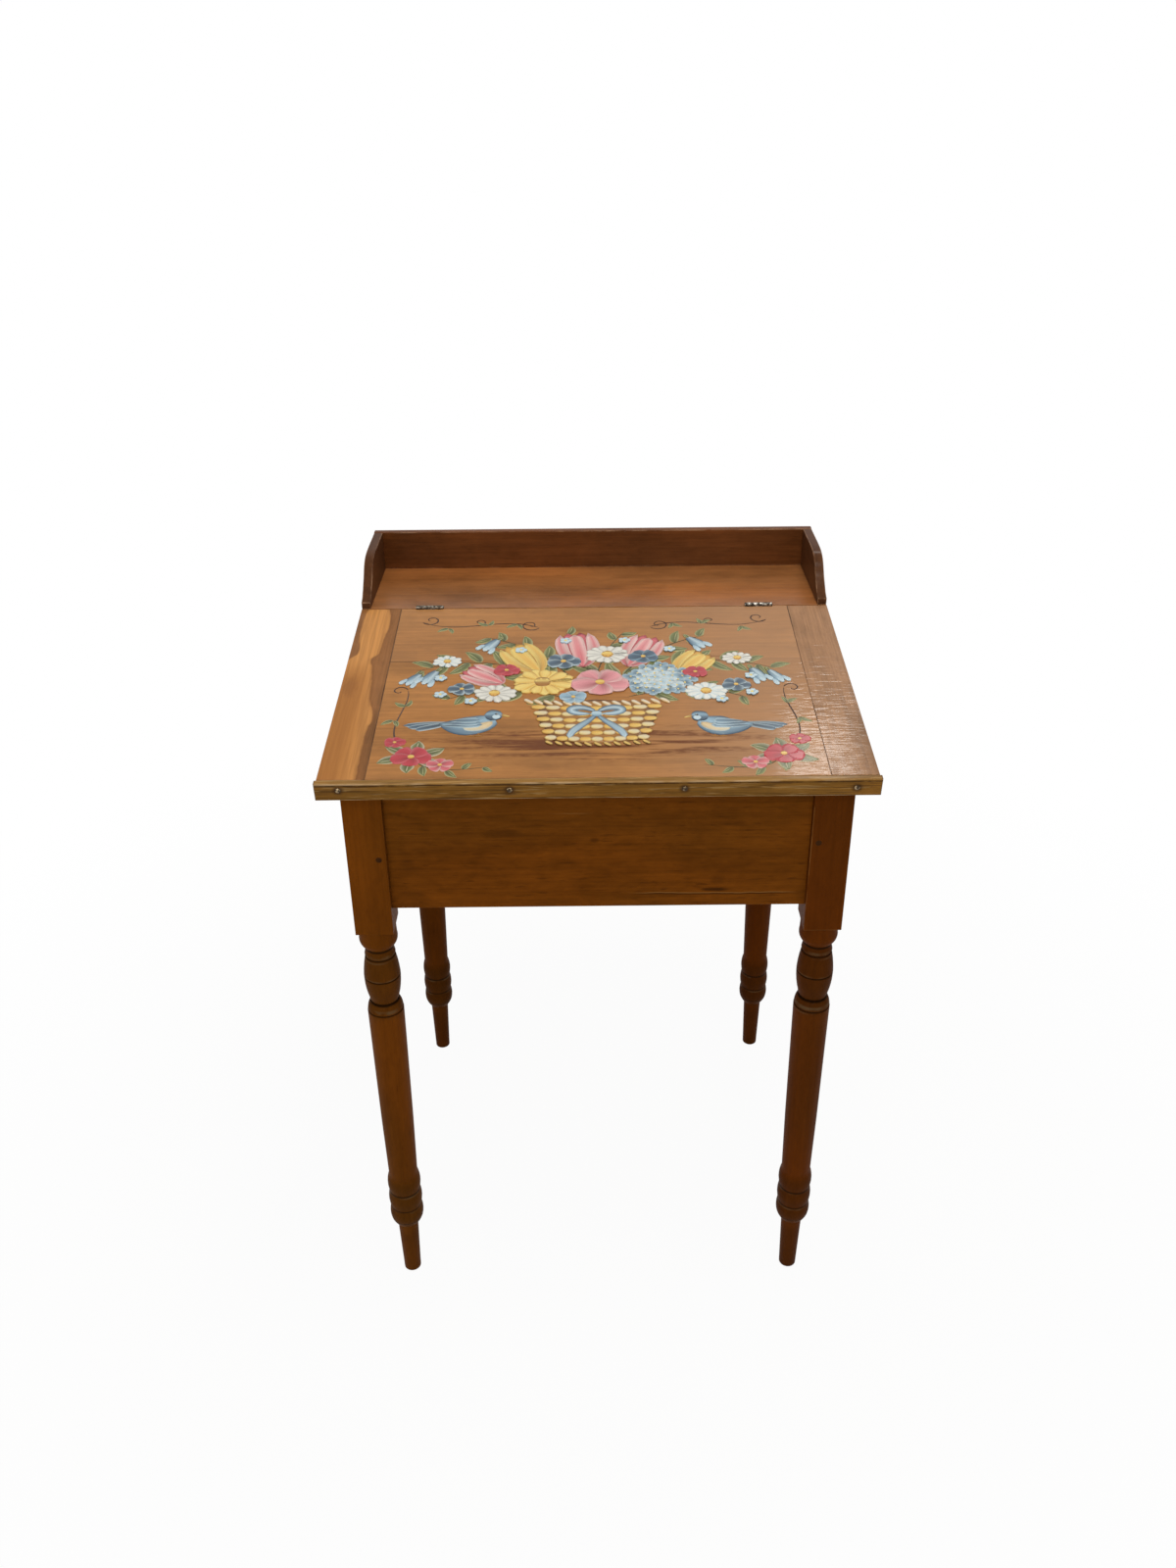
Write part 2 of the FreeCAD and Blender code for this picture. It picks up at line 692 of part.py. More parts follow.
shelf = new_body("shelf")
pad(shelf, "YZ_Plane", rectangle((shelf_front_y, shelf_under), (back_y, shelf_top)), -lid_half, lid_half)
hinge_seats(shelf, shelf_front_y, 1)
drill(shelf, "XY_Plane", screw_places + back_screw_places, S["gallery_screw_dia"],
      shelf_under - S["overrun"], shelf_top + S["overrun"])
drill(shelf, "XY_Plane", screw_places + back_screw_places, S["gallery_screw_head_dia"],
      shelf_under - S["overrun"], shelf_under + S["gallery_screw_head"])

# Gallery: a low back with two ends in a long ogee

# Places along the tray and up the gallery, as shares of the tray's depth and the gallery's height
TOE_SHARES = (0.0, 0.19)
HOLLOW_SHARES = (0.052, 0.275)
HOLLOW_TOP_SHARES = (0.11, 0.40)
KNEE_START_SHARES = (0.303, 0.884)
KNEE_SHARES = (0.354, 0.97)
KNEE_END_SHARES = (0.412, 1.0)


def gallery_place(share):
    return (shelf_front_y + S["tray_depth"] * share[0], shelf_top + S["gallery_height"] * share[1])


end_profile = [
    (shelf_front_y, shelf_top),
    (gallery_y, shelf_top),
    (gallery_y, gallery_top),
    (*gallery_place(KNEE_END_SHARES), gallery_place(KNEE_SHARES)),
    gallery_place(KNEE_START_SHARES),
    (*gallery_place(HOLLOW_TOP_SHARES), gallery_place(HOLLOW_SHARES)),
    gallery_place(TOE_SHARES),
]
nail_heights = (shelf_top + S["gallery_nail_edge"], gallery_top - S["gallery_nail_edge"])
nail_point_y = back_y - S["gallery_nail_length"]
for name, side in HINGE_SIDES:
    body = new_body(f"gallery_end_{name}")
    inner = lid_half - S["gallery_board"]
    if side < 0:
        pad(body, "YZ_Plane", end_profile, -lid_half, -inner)
    else:
        pad(body, "YZ_Plane", end_profile, inner, lid_half)
    drill(body, "XY_Plane", [(gallery_screw_x * side, y) for y in end_screw_ys], S["gallery_screw_dia"],
          shelf_top, gallery_screw_top)
    drill(body, "XZ_Plane", [(gallery_screw_x * side, z) for z in nail_heights], S["gallery_nail_dia"],
          nail_point_y, gallery_y)

gallery_back = new_body("gallery_back")
pad(gallery_back, "YZ_Plane", rectangle((gallery_y, shelf_top), (back_y, gallery_top)), -lid_half, lid_half)
drill(gallery_back, "XY_Plane", back_screw_places, S["gallery_screw_dia"], shelf_top, gallery_screw_top)
gallery_nail_places = [(gallery_screw_x * side, z) for side in (-1, 1) for z in nail_heights]
drill(gallery_back, "XZ_Plane", gallery_nail_places, S["gallery_nail_dia"], gallery_y, back_y)
drill(gallery_back, "XZ_Plane", gallery_nail_places, S["gallery_nail_head_dia"],
      back_y - S["gallery_nail_head"], back_y)

screws = []
for index, (x, y) in enumerate(screw_places + back_screw_places):
    head = cylinder(f"gallery_screw_head_{index}", S["gallery_screw_head_dia"], S["gallery_screw_head"],
                    x, y, shelf_under)
    shank = cylinder(f"gallery_screw_shank_{index}", S["gallery_screw_dia"], S["gallery_screw_length"],
                     x, y, shelf_under)
    screws.append(fuse(f"gallery_screw_{index}", [head, shank]))
group("gallery_screws", screws)

nails = []
for index, (x, z) in enumerate(gallery_nail_places):
    head = cylinder(f"gallery_nail_head_{index}", S["gallery_nail_head_dia"], S["gallery_nail_head"],
                    x, back_y, z, (1, 0, 0), QUARTER)
    shank = cylinder(f"gallery_nail_shank_{index}", S["gallery_nail_dia"], S["gallery_nail_length"],
                     x, back_y, z, (1, 0, 0), QUARTER)
    nails.append(fuse(f"gallery_nail_{index}", [head, shank]))
group("gallery_nails", nails)

# Lid: two boards edge to edge, tongued into a stile at each end, with a strip nailed along the front.
# All but the back board are drawn flat, with the lid's back top edge as origin, and tilted into place.

board = S["lid_board"]
tongue_low = (board + S["tongue_thick"]) / 2
tongue_high = (board - S["tongue_thick"]) / 2
panel_half = lid_half - S["stile_width"]
tongue_reach = panel_half + S["tongue_length"]
strip_back = S["strip_thick"] - lid_slant
seam_along = lid_slant - S["strip_thick"] - S["front_board_width"]
nail_depth = S["strip_height"] / 2
strip_nail_outer = lid_half - S["strip_nail_inset"]
nail_tip = S["strip_nail_length"] - lid_slant


def tilt(thing):
    set_place(thing, ZERO, lid_back_y, shelf_top, (1, 0, 0), S["lid_slope_angle"])


lid_front = new_body("lid_board_front")
pad(lid_front, "YZ_Plane", rectangle((strip_back, -board), (-seam_along, ZERO)), -panel_half, panel_half)
pad(lid_front, "YZ_Plane", rectangle((strip_back, -tongue_low), (-seam_along, -tongue_high)),
    -tongue_reach, tongue_reach)
drill(lid_front, "XZ_Plane", [(S["strip_nail_inner"] * side, -nail_depth) for side in (-1, 1)],
      S["strip_nail_dia"], strip_back, nail_tip)
tilt(lid_front)

# The back board's rear edge is upright when the lid is shut, so it is drawn in place
lid_back = new_body("lid_board_back")
pad(lid_back, "YZ_Plane", [lid_point(seam_along, board), (lid_back_y, shelf_top - board / slope_cos),
                           (lid_back_y, shelf_top), lid_point(seam_along, ZERO)], -panel_half, panel_half)
tongue_profile = [lid_point(seam_along, tongue_low), (lid_back_y, shelf_top - tongue_low / slope_cos),
                  (lid_back_y, shelf_top - tongue_high / slope_cos), lid_point(seam_along, tongue_high)]
pad(lid_back, "YZ_Plane", tongue_profile, -tongue_reach, tongue_reach)
hinge_seats(lid_back, lid_back_y, -1)

stile_profile = [(strip_back, -board), (-board * slope_tan, -board), (ZERO, ZERO), (strip_back, ZERO)]
groove_profile = rectangle((strip_back - S["overrun"], -tongue_low), (S["overrun"], -tongue_high))
groove_reach = tongue_reach + S["tongue_room"]
for name, side in HINGE_SIDES:
    body = new_body(f"lid_stile_{name}")
    if side < 0:
        pad(body, "YZ_Plane", stile_profile, -lid_half, -panel_half)
        pocket(body, "YZ_Plane", groove_profile, -groove_reach, S["overrun"] - panel_half)
    else:
        pad(body, "YZ_Plane", stile_profile, panel_half, lid_half)
        pocket(body, "YZ_Plane", groove_profile, panel_half - S["overrun"], groove_reach)
    drill(body, "XZ_Plane", [(strip_nail_outer * side, -nail_depth)], S["strip_nail_dia"],
          strip_back, nail_tip)
    tilt(body)

strip = new_body("lid_front_strip")
edge = S["strip_edge"]
strip_profile = [
    (-lid_slant, -S["strip_height"]),
    (strip_back, -S["strip_height"]),
    (strip_back, ZERO),
    (edge - lid_slant, ZERO, (edge * ROUND_MIDDLE_SHARE - lid_slant, -edge * ROUND_MIDDLE_SHARE)),
    (-lid_slant, -edge),
]
pad(strip, "YZ_Plane", strip_profile, -S["desk_width"] / 2, S["desk_width"] / 2)
strip_nail_xs = [place * side for place in (S["strip_nail_inner"], strip_nail_outer) for side in (-1, 1)]
drill(strip, "XZ_Plane", [(x, -nail_depth) for x in strip_nail_xs], S["strip_nail_dia"],
      -lid_slant - S["overrun"], strip_back + S["overrun"])
tilt(strip)

# Round-headed nails in the strip
head_rise, head_half = S["strip_nail_head"], S["strip_nail_head_dia"] / 2
dome_radius = (head_rise * head_rise + head_half * head_half) / 2 / head_rise
dome_sunk = dome_radius - head_rise
nails = []
for index, x in enumerate(strip_nail_xs):
    dome = doc.addObject("Part::Sphere", f"strip_nail_dome_{index}")
    dome.setExpression("Radius", dome_radius.text)
    dome.setExpression("Angle1", f"asin({dome_sunk.text} / {dome_radius.text})")
    set_place(dome, x, dome_sunk - lid_slant, -nail_depth, (1, 0, 0), QUARTER)
    shank = cylinder(f"strip_nail_shank_{index}", S["strip_nail_dia"], S["strip_nail_length"],
                     x, nail_tip, -nail_depth, (1, 0, 0), QUARTER)
    nails.append(fuse(f"strip_nail_{index}", [dome, shank]))
tilt(group("lid_strip_nails", nails))


# Butt hinges: two leaves, a riveted pin and countersunk screws each

def along_x(name, diameter, start, end):
    return cylinder(name, diameter, end - start, start, hinge_y, hinge_z, (0, 1, 0), QUARTER)


def screw_parts(name, x, facing, turn, room):
    """Countersunk head cone and shank, pointing away from the hinge line."""
    inner, outer = hinge_y + leaf_face * facing, hinge_y + barrel_radius * facing
    head = cone(f"{name}_head", S["hinge_screw_head_dia"], S["hinge_screw_dia"], S["leaf_thick"],
                x, inner, screw_height, (1, 0, 0), turn)
    if room:
        return [head]
    shank = cylinder(f"{name}_shank", S["hinge_screw_dia"], S["hinge_screw_length"] - S["leaf_thick"],
                     x, outer, screw_height, (1, 0, 0), turn)
    return [head, shank]


def leaf(name, centre, facing, turn, knuckles, notches):
    """One leaf: a plate with its knuckles, notched for the other leaf's and countersunk for two screws."""
    near, far = hinge_y + leaf_face * facing, hinge_y + barrel_radius * facing
    if facing < 0:
        near, far = far, near
    plate = box(f"{name}_plate", (centre - hinge_half, near, leaf_bottom),
                (centre + hinge_half, far, hinge_z))
    rings = [along_x(f"{name}_ring_{index}", S["barrel_of_hinge_dia"], centre + start, centre + end)
             for index, (start, end) in enumerate(knuckles)]
    clear = barrel_radius + S["leaf_clear"]
    tools = [box(f"{name}_notch_{index}", (centre + start, hinge_y - clear, hinge_z - clear),
                 (centre + end, hinge_y + clear, hinge_z + clear))
             for index, (start, end) in enumerate(notches)]
    tools.append(along_x(f"{name}_bore", S["pin_dia"] + S["pin_room"] * 2,
                         centre - hinge_half - S["overrun"], centre + hinge_half + S["overrun"]))
    for index, sign in enumerate((-1, 1)):
        tools += screw_parts(f"{name}_sink_{index}", centre + screw_half * sign, facing, turn, True)
    BUILT.append(cut(name, fuse(f"{name}_blank", [plate] + rings), tools))


knuckle_half = S["hinge_mid_knuckle"] / 2
knuckle_rest = knuckle_half + S["knuckle_gap"]
outer_knuckles = [(-hinge_half, -knuckle_rest), (knuckle_rest, hinge_half)]
past_end = hinge_half + S["overrun"]
for name, side in HINGE_SIDES:
    centre = hinge_place * side
    leaf(f"hinge_leaf_shelf_{name}", centre, 1, -QUARTER, outer_knuckles, [(-knuckle_rest, knuckle_rest)])
    leaf(f"hinge_leaf_lid_{name}", centre, -1, QUARTER, [(-knuckle_half, knuckle_half)],
         [(-past_end, -knuckle_half), (knuckle_half, past_end)])
    low, high = centre - hinge_half, centre + hinge_half
    rod = along_x(f"hinge_rod_{name}", S["pin_dia"], low, high)
    caps = [along_x(f"hinge_cap_low_{name}", S["pin_cap_dia"], low - S["pin_cap"], low),
            along_x(f"hinge_cap_high_{name}", S["pin_cap_dia"], high, high + S["pin_cap"])]
    BUILT.append(fuse(f"hinge_pin_{name}", [rod] + caps))

for board_name, facing, turn in (("shelf", 1, -QUARTER), ("lid", -1, QUARTER)):
    screws = []
    for name, side in HINGE_SIDES:
        for index, sign in enumerate((-1, 1)):
            x = hinge_place * side + screw_half * sign
            label = f"{board_name}_{name}_screw_{index}"
            screws.append(fuse(label, screw_parts(label, x, facing, turn, False)))
    group(f"hinge_screws_{board_name}", screws)

# Check every object, then write one file for each piece

doc.recompute()
for thing in doc.Objects:
    if "Invalid" in thing.State or "Error" in thing.State:
        raise RuntimeError(f"{thing.Label}: {thing.State}")
os.makedirs("parts", exist_ok=True)
for piece in BUILT:
    if piece.Shape.isNull() or not piece.Shape.isValid():
        raise RuntimeError(f"{piece.Label}: no sound shape")
for piece in BUILT:
    piece.Shape.exportStep(f"parts/{piece.Label}.step")
    print(f"{piece.Label}: {len(piece.Shape.Solids)} solid(s), {piece.Shape.Volume / 1000:.2f} cm3")
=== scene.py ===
import math
import random

import bmesh
import bpy
from mathutils import Matrix, Vector


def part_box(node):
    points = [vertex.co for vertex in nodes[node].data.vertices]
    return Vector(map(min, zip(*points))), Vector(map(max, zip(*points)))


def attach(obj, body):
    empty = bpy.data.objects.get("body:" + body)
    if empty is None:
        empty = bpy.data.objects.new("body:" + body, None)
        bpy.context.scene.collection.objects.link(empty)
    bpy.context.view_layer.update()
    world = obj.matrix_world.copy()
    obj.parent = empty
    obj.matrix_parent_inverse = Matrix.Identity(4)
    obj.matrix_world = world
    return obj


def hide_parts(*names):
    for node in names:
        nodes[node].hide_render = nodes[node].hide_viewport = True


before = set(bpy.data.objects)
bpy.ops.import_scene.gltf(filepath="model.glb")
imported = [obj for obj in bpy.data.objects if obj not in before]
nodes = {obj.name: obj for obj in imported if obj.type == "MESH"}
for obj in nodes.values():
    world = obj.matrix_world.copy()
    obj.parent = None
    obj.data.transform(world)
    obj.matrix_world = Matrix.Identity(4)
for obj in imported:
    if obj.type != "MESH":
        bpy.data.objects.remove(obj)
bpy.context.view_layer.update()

random.seed(7)

# The room around the desk: a pale floor that runs out to white, a broad lamp overhead, a small
# window high up behind and to the right whose glare lies on the varnish, a soft fill from the
# front left and a small spot that the nail heads catch.

FLOOR_RADIUS = 14.0
FLOOR_COLOUR = (0.8, 0.79, 0.77, 1)
FLOOR_FADE_FROM, FLOOR_FADE_TO = 0.4, 1.6
FLOOR_LEAST_WHITE = 0.95
ROOM_LIGHT = 0.36


def new_object(name, shape):
    """Turn a finished bmesh into an object of the scene that stands at the origin."""
    mesh = bpy.data.meshes.new(name)
    shape.to_mesh(mesh)
    shape.free()
    piece = bpy.data.objects.new(name, mesh)
    bpy.context.scene.collection.objects.link(piece)
    return piece


class Nodes:
    """The node tree of a material or a world, with short ways to add nodes and join them."""

    def __init__(self, holder):
        self.holder = holder
        holder.use_nodes = True
        self.tree = holder.node_tree
        self.tree.nodes.clear()

    def add(self, kind, settings=None, **inputs):
        node = self.tree.nodes.new(kind)
        for key, value in (settings or {}).items():
            setattr(node, key, value)
        for key, value in inputs.items():
            self.feed(node.inputs[key.replace("_", " ")], value)
        return node

    def feed(self, socket, value):
        if isinstance(value, bpy.types.NodeSocket):
            self.tree.links.new(value, socket)
        else:
            socket.default_value = value

    def maths(self, operation, *values, clamp=False):
        node = self.add("ShaderNodeMath", {"operation": operation, "use_clamp": clamp})
        for socket, value in zip(node.inputs, values):
            self.feed(socket, value)
        return node.outputs[0]

    def times(self, first, second):
        return self.maths("MULTIPLY", first, second)

    def minus(self, first, second):
        return self.maths("SUBTRACT", first, second)

    def rest(self, share):
        """What a share leaves of the whole."""
        return self.maths("SUBTRACT", 1.0, share)

    def scale_add(self, value, factor, start):
        return self.maths("MULTIPLY_ADD", value, factor, start)

    def size(self, value):
        """A value without its sign."""
        return self.maths("ABSOLUTE", value)

    def vectors(self, operation, *values):
        node = self.add("ShaderNodeVectorMath", {"operation": operation})
        for socket, value in zip(node.inputs, values):
            self.feed(socket, value)
        return node.outputs["Value" if operation == "LENGTH" else "Vector"]

    def toned(self, colour, tone):
        """A colour made lighter or darker by a tone about 1."""
        node = self.add("ShaderNodeVectorMath", {"operation": "SCALE"}, Scale=tone)
        self.feed(node.inputs[0], colour)
        return node.outputs[0]

    def noise(self, place, scale, detail, roughness, distortion=0.0):
        """Noise whose scale differs along each axis, in features a metre."""
        node = self.add("ShaderNodeTexNoise", Vector=self.vectors("MULTIPLY", place, scale), Scale=1.0,
                        Detail=detail, Roughness=roughness, Distortion=distortion)
        return node.outputs["Fac"]

    def mix(self, amount, low, high, blend="MIX"):
        node = self.add("ShaderNodeMix", {"data_type": "RGBA", "blend_type": blend})
        self.feed(node.inputs[0], amount)
        self.feed(node.inputs[6], low)
        self.feed(node.inputs[7], high)
        return node.outputs[2]

    def span(self, value, low, high, to_low=0.0, to_high=1.0):
        """A value's place between two limits, as a share that stays within 0 and 1."""
        node = self.add("ShaderNodeMapRange", {"interpolation_type": "SMOOTHSTEP"})
        for socket, number in zip(node.inputs, (value, low, high, to_low, to_high)):
            self.feed(socket, number)
        return node.outputs[0]

    def finish(self, surface):
        output = self.add("ShaderNodeOutputMaterial")
        self.feed(output.inputs["Surface"], surface)
        return self.holder


def sees_background(nodes_of):
    """1 for rays from the camera, from a gloss or through glass, and 0 for the light on the desk."""
    path = nodes_of.add("ShaderNodeLightPath")
    seen = nodes_of.maths("ADD", path.outputs["Is Camera Ray"], path.outputs["Is Glossy Ray"], clamp=True)
    return nodes_of.maths("ADD", seen, path.outputs["Is Transmission Ray"], clamp=True)


def floor_material():
    """Matt near the desk, where its shadow falls, and plain white further out."""
    paint = Nodes(bpy.data.materials.new("floor"))
    distance = paint.vectors("LENGTH", paint.add("ShaderNodeTexCoord").outputs["Object"])
    away = paint.span(distance, FLOOR_FADE_FROM, FLOOR_FADE_TO, FLOOR_LEAST_WHITE, 1.0)
    amount = paint.times(away, sees_background(paint))
    matt = paint.add("ShaderNodeBsdfDiffuse", Color=FLOOR_COLOUR)
    white = paint.add("ShaderNodeEmission", Color=(1, 1, 1, 1), Strength=1.0)
    blend = paint.add("ShaderNodeMixShader", Fac=amount)
    paint.feed(blend.inputs[1], matt.outputs[0])
    paint.feed(blend.inputs[2], white.outputs[0])
    return paint.finish(blend.outputs[0])


shape = bmesh.new()
bmesh.ops.create_circle(shape, cap_ends=True, segments=96, radius=FLOOR_RADIUS)
floor = new_object("floor", shape)
floor.data.materials.append(floor_material())

# Soft light comes from all round, and plain white where the camera or a gloss looks past the
# desk. Four area lamps stand in it: one overhead, the window, the fill and the spot.

world = bpy.data.worlds.new("room")
bpy.context.scene.world = world
room = Nodes(world)
strength = room.maths("MAXIMUM", sees_background(room), ROOM_LIGHT)
background = room.add("ShaderNodeBackground", Color=(1, 1, 1, 1), Strength=strength)
room.add("ShaderNodeOutputWorld", Surface=background.outputs[0])


def lamp(name, place, aim, width, height, power, colour):
    light = bpy.data.lights.new(name, "AREA")
    light.shape = "RECTANGLE"
    light.size = width
    light.size_y = height
    light.energy = power
    light.color = colour
    holder = bpy.data.objects.new(name, light)
    holder.location = place
    holder.rotation_euler = (Vector(aim) - Vector(place)).to_track_quat("-Z", "Y").to_euler()
    holder.visible_camera = False
    bpy.context.scene.collection.objects.link(holder)


lamp("ceiling_lamp", (0.25, -0.35, 2.75), (0.0, 0.0, 0.8), 0.7, 0.7, 20, (1.0, 0.97, 0.92))
lamp("window", (0.87, 2.34, 3.2), (0.2, 0.0, 0.8), 0.26, 0.15, 7.5, (1.0, 0.98, 0.94))
lamp("front_fill", (-0.9, -3.0, 1.7), (0.0, 0.0, 0.5), 2.0, 1.4, 17, (1.0, 0.98, 0.95))
lamp("spot", (0.35, -2.1, 2.3), (0.0, -0.2, 0.5), 0.22, 0.22, 5, (1.0, 0.97, 0.92))

# The camera stands in front of the desk at a standing person's eye height, a little left of the
# middle, and looks down on the lid. Its lens and angles are worked out from the desk's edges.

PHOTO_HEIGHT = 1600
FOCAL_PIXELS = 1341.3
SENSOR_MM = 36
EYE = Vector((-0.013, -1.4974, 1.4856))
PITCH, YAW, ROLL = (math.radians(angle) for angle in (-29.336, 0.1, -0.518))

forward = Vector((math.sin(YAW) * math.cos(PITCH), math.cos(YAW) * math.cos(PITCH), math.sin(PITCH)))
level_right = Vector((math.cos(YAW), -math.sin(YAW), 0))
level_up = level_right.cross(forward)
right = level_right * math.cos(ROLL) + level_up * math.sin(ROLL)
up = level_up * math.cos(ROLL) - level_right * math.sin(ROLL)
camera_data = bpy.data.cameras.new("camera")
camera_data.sensor_width = SENSOR_MM
camera_data.lens = FOCAL_PIXELS * SENSOR_MM / PHOTO_HEIGHT
camera_data.clip_start = 0.02
camera = bpy.data.objects.new("camera", camera_data)
turn = Matrix((right, up, -forward)).transposed().to_4x4()
camera.matrix_world = Matrix.Translation(EYE) @ turn
bpy.context.scene.collection.objects.link(camera)
bpy.context.scene.camera = camera
bpy.context.scene.view_settings.view_transform = "Standard"

# The four legs are turned from square stock, stained dark brown and varnished. Each keeps its
# square top as a post; its arrises are eased by hand and rubbed paler with use. The beads carry
# painted highlights, and the grooves and feet painted shade.

LONG_EDGE = 0.02
SHARP_TURN = math.radians(30)
FLAT_TURN = math.radians(0.4)
EASE_STEPS = 3


def ease_arrises(shape, ease, sharp=lambda middle: False, shortest=LONG_EDGE):
    """Round over the long arrises and mark them in the face attribute "worn", for the material.

    An arris stays sharp where the test given says so of its middle."""
    long_edges = [edge for edge in shape.edges if edge.is_manifold and edge.is_convex
                  and edge.calc_length() > shortest and edge.calc_face_angle() > SHARP_TURN
                  and not sharp((edge.verts[0].co + edge.verts[1].co) / 2)]
    worn = shape.faces.layers.float.new("worn")
    cut = bmesh.ops.bevel(shape, geom=long_edges, offset=ease, segments=EASE_STEPS, profile=0.5,
                          affect="EDGES", material=-1, clamp_overlap=True)
    for face in cut["faces"]:
        face[worn] = 1.0
    for face in shape.faces:
        face.smooth = True
    for edge in shape.edges:
        edge.smooth = not edge.is_manifold or edge.calc_face_angle() < SHARP_TURN


def stand_in(node_name, body, shape):
    """Make an object of the shape, in place of a CAD node."""
    piece = new_object(f"{node_name}_shown", shape)
    normals = piece.modifiers.new("even_shading", "WEIGHTED_NORMAL")
    normals.keep_sharp = True
    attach(piece, body)
    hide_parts(node_name)
    return piece


def eased(node_name, body, ease=0.0009, sharp=lambda middle: False):
    """Stand in for a CAD node with a copy of its mesh whose long arrises are rounded over."""
    shape = bmesh.new()
    shape.from_mesh(nodes[node_name].data)
    bmesh.ops.remove_doubles(shape, verts=shape.verts, dist=2e-6)
    bmesh.ops.dissolve_limit(shape, angle_limit=FLAT_TURN, verts=shape.verts, edges=shape.edges)
    ease_arrises(shape, ease, sharp)
    return stand_in(node_name, body, shape)


GRAIN_TURNS = {"x": (0, 0, 0), "y": (0, 0, math.radians(-90)), "z": (0, math.radians(90), 0)}
SLOW_SCALE, CLOUD_SCALE, CURL_SCALE = (1.6, 12, 12), (5, 11, 11), (34, 75, 75)
FINE_SCALE, BROAD_SCALE, PORE_SCALE, HUE_SCALE = (22, 1100, 1100), (6, 230, 230), (70, 1700, 1700), (3, 7, 7)
RAG_SCALE, SEAM_WAVES, RUB_SCALE = (90, 400, 400), 22.0, (30, 60, 60)
SEAM_START_BLUR, SEAM_END_BLUR = 0.04, 0.03
PORE_DEPTH, BROAD_SHARE = 0.28, 1.4
BRUSH_MARKS = (48, 260, 48)
RELIEF, RELIEF_STRENGTH, FIBRE_RELIEF = 0.0002, 0.35, 0.8
ROUGHNESS_SPREAD, VARNISH_IOR = 0.12, 1.4


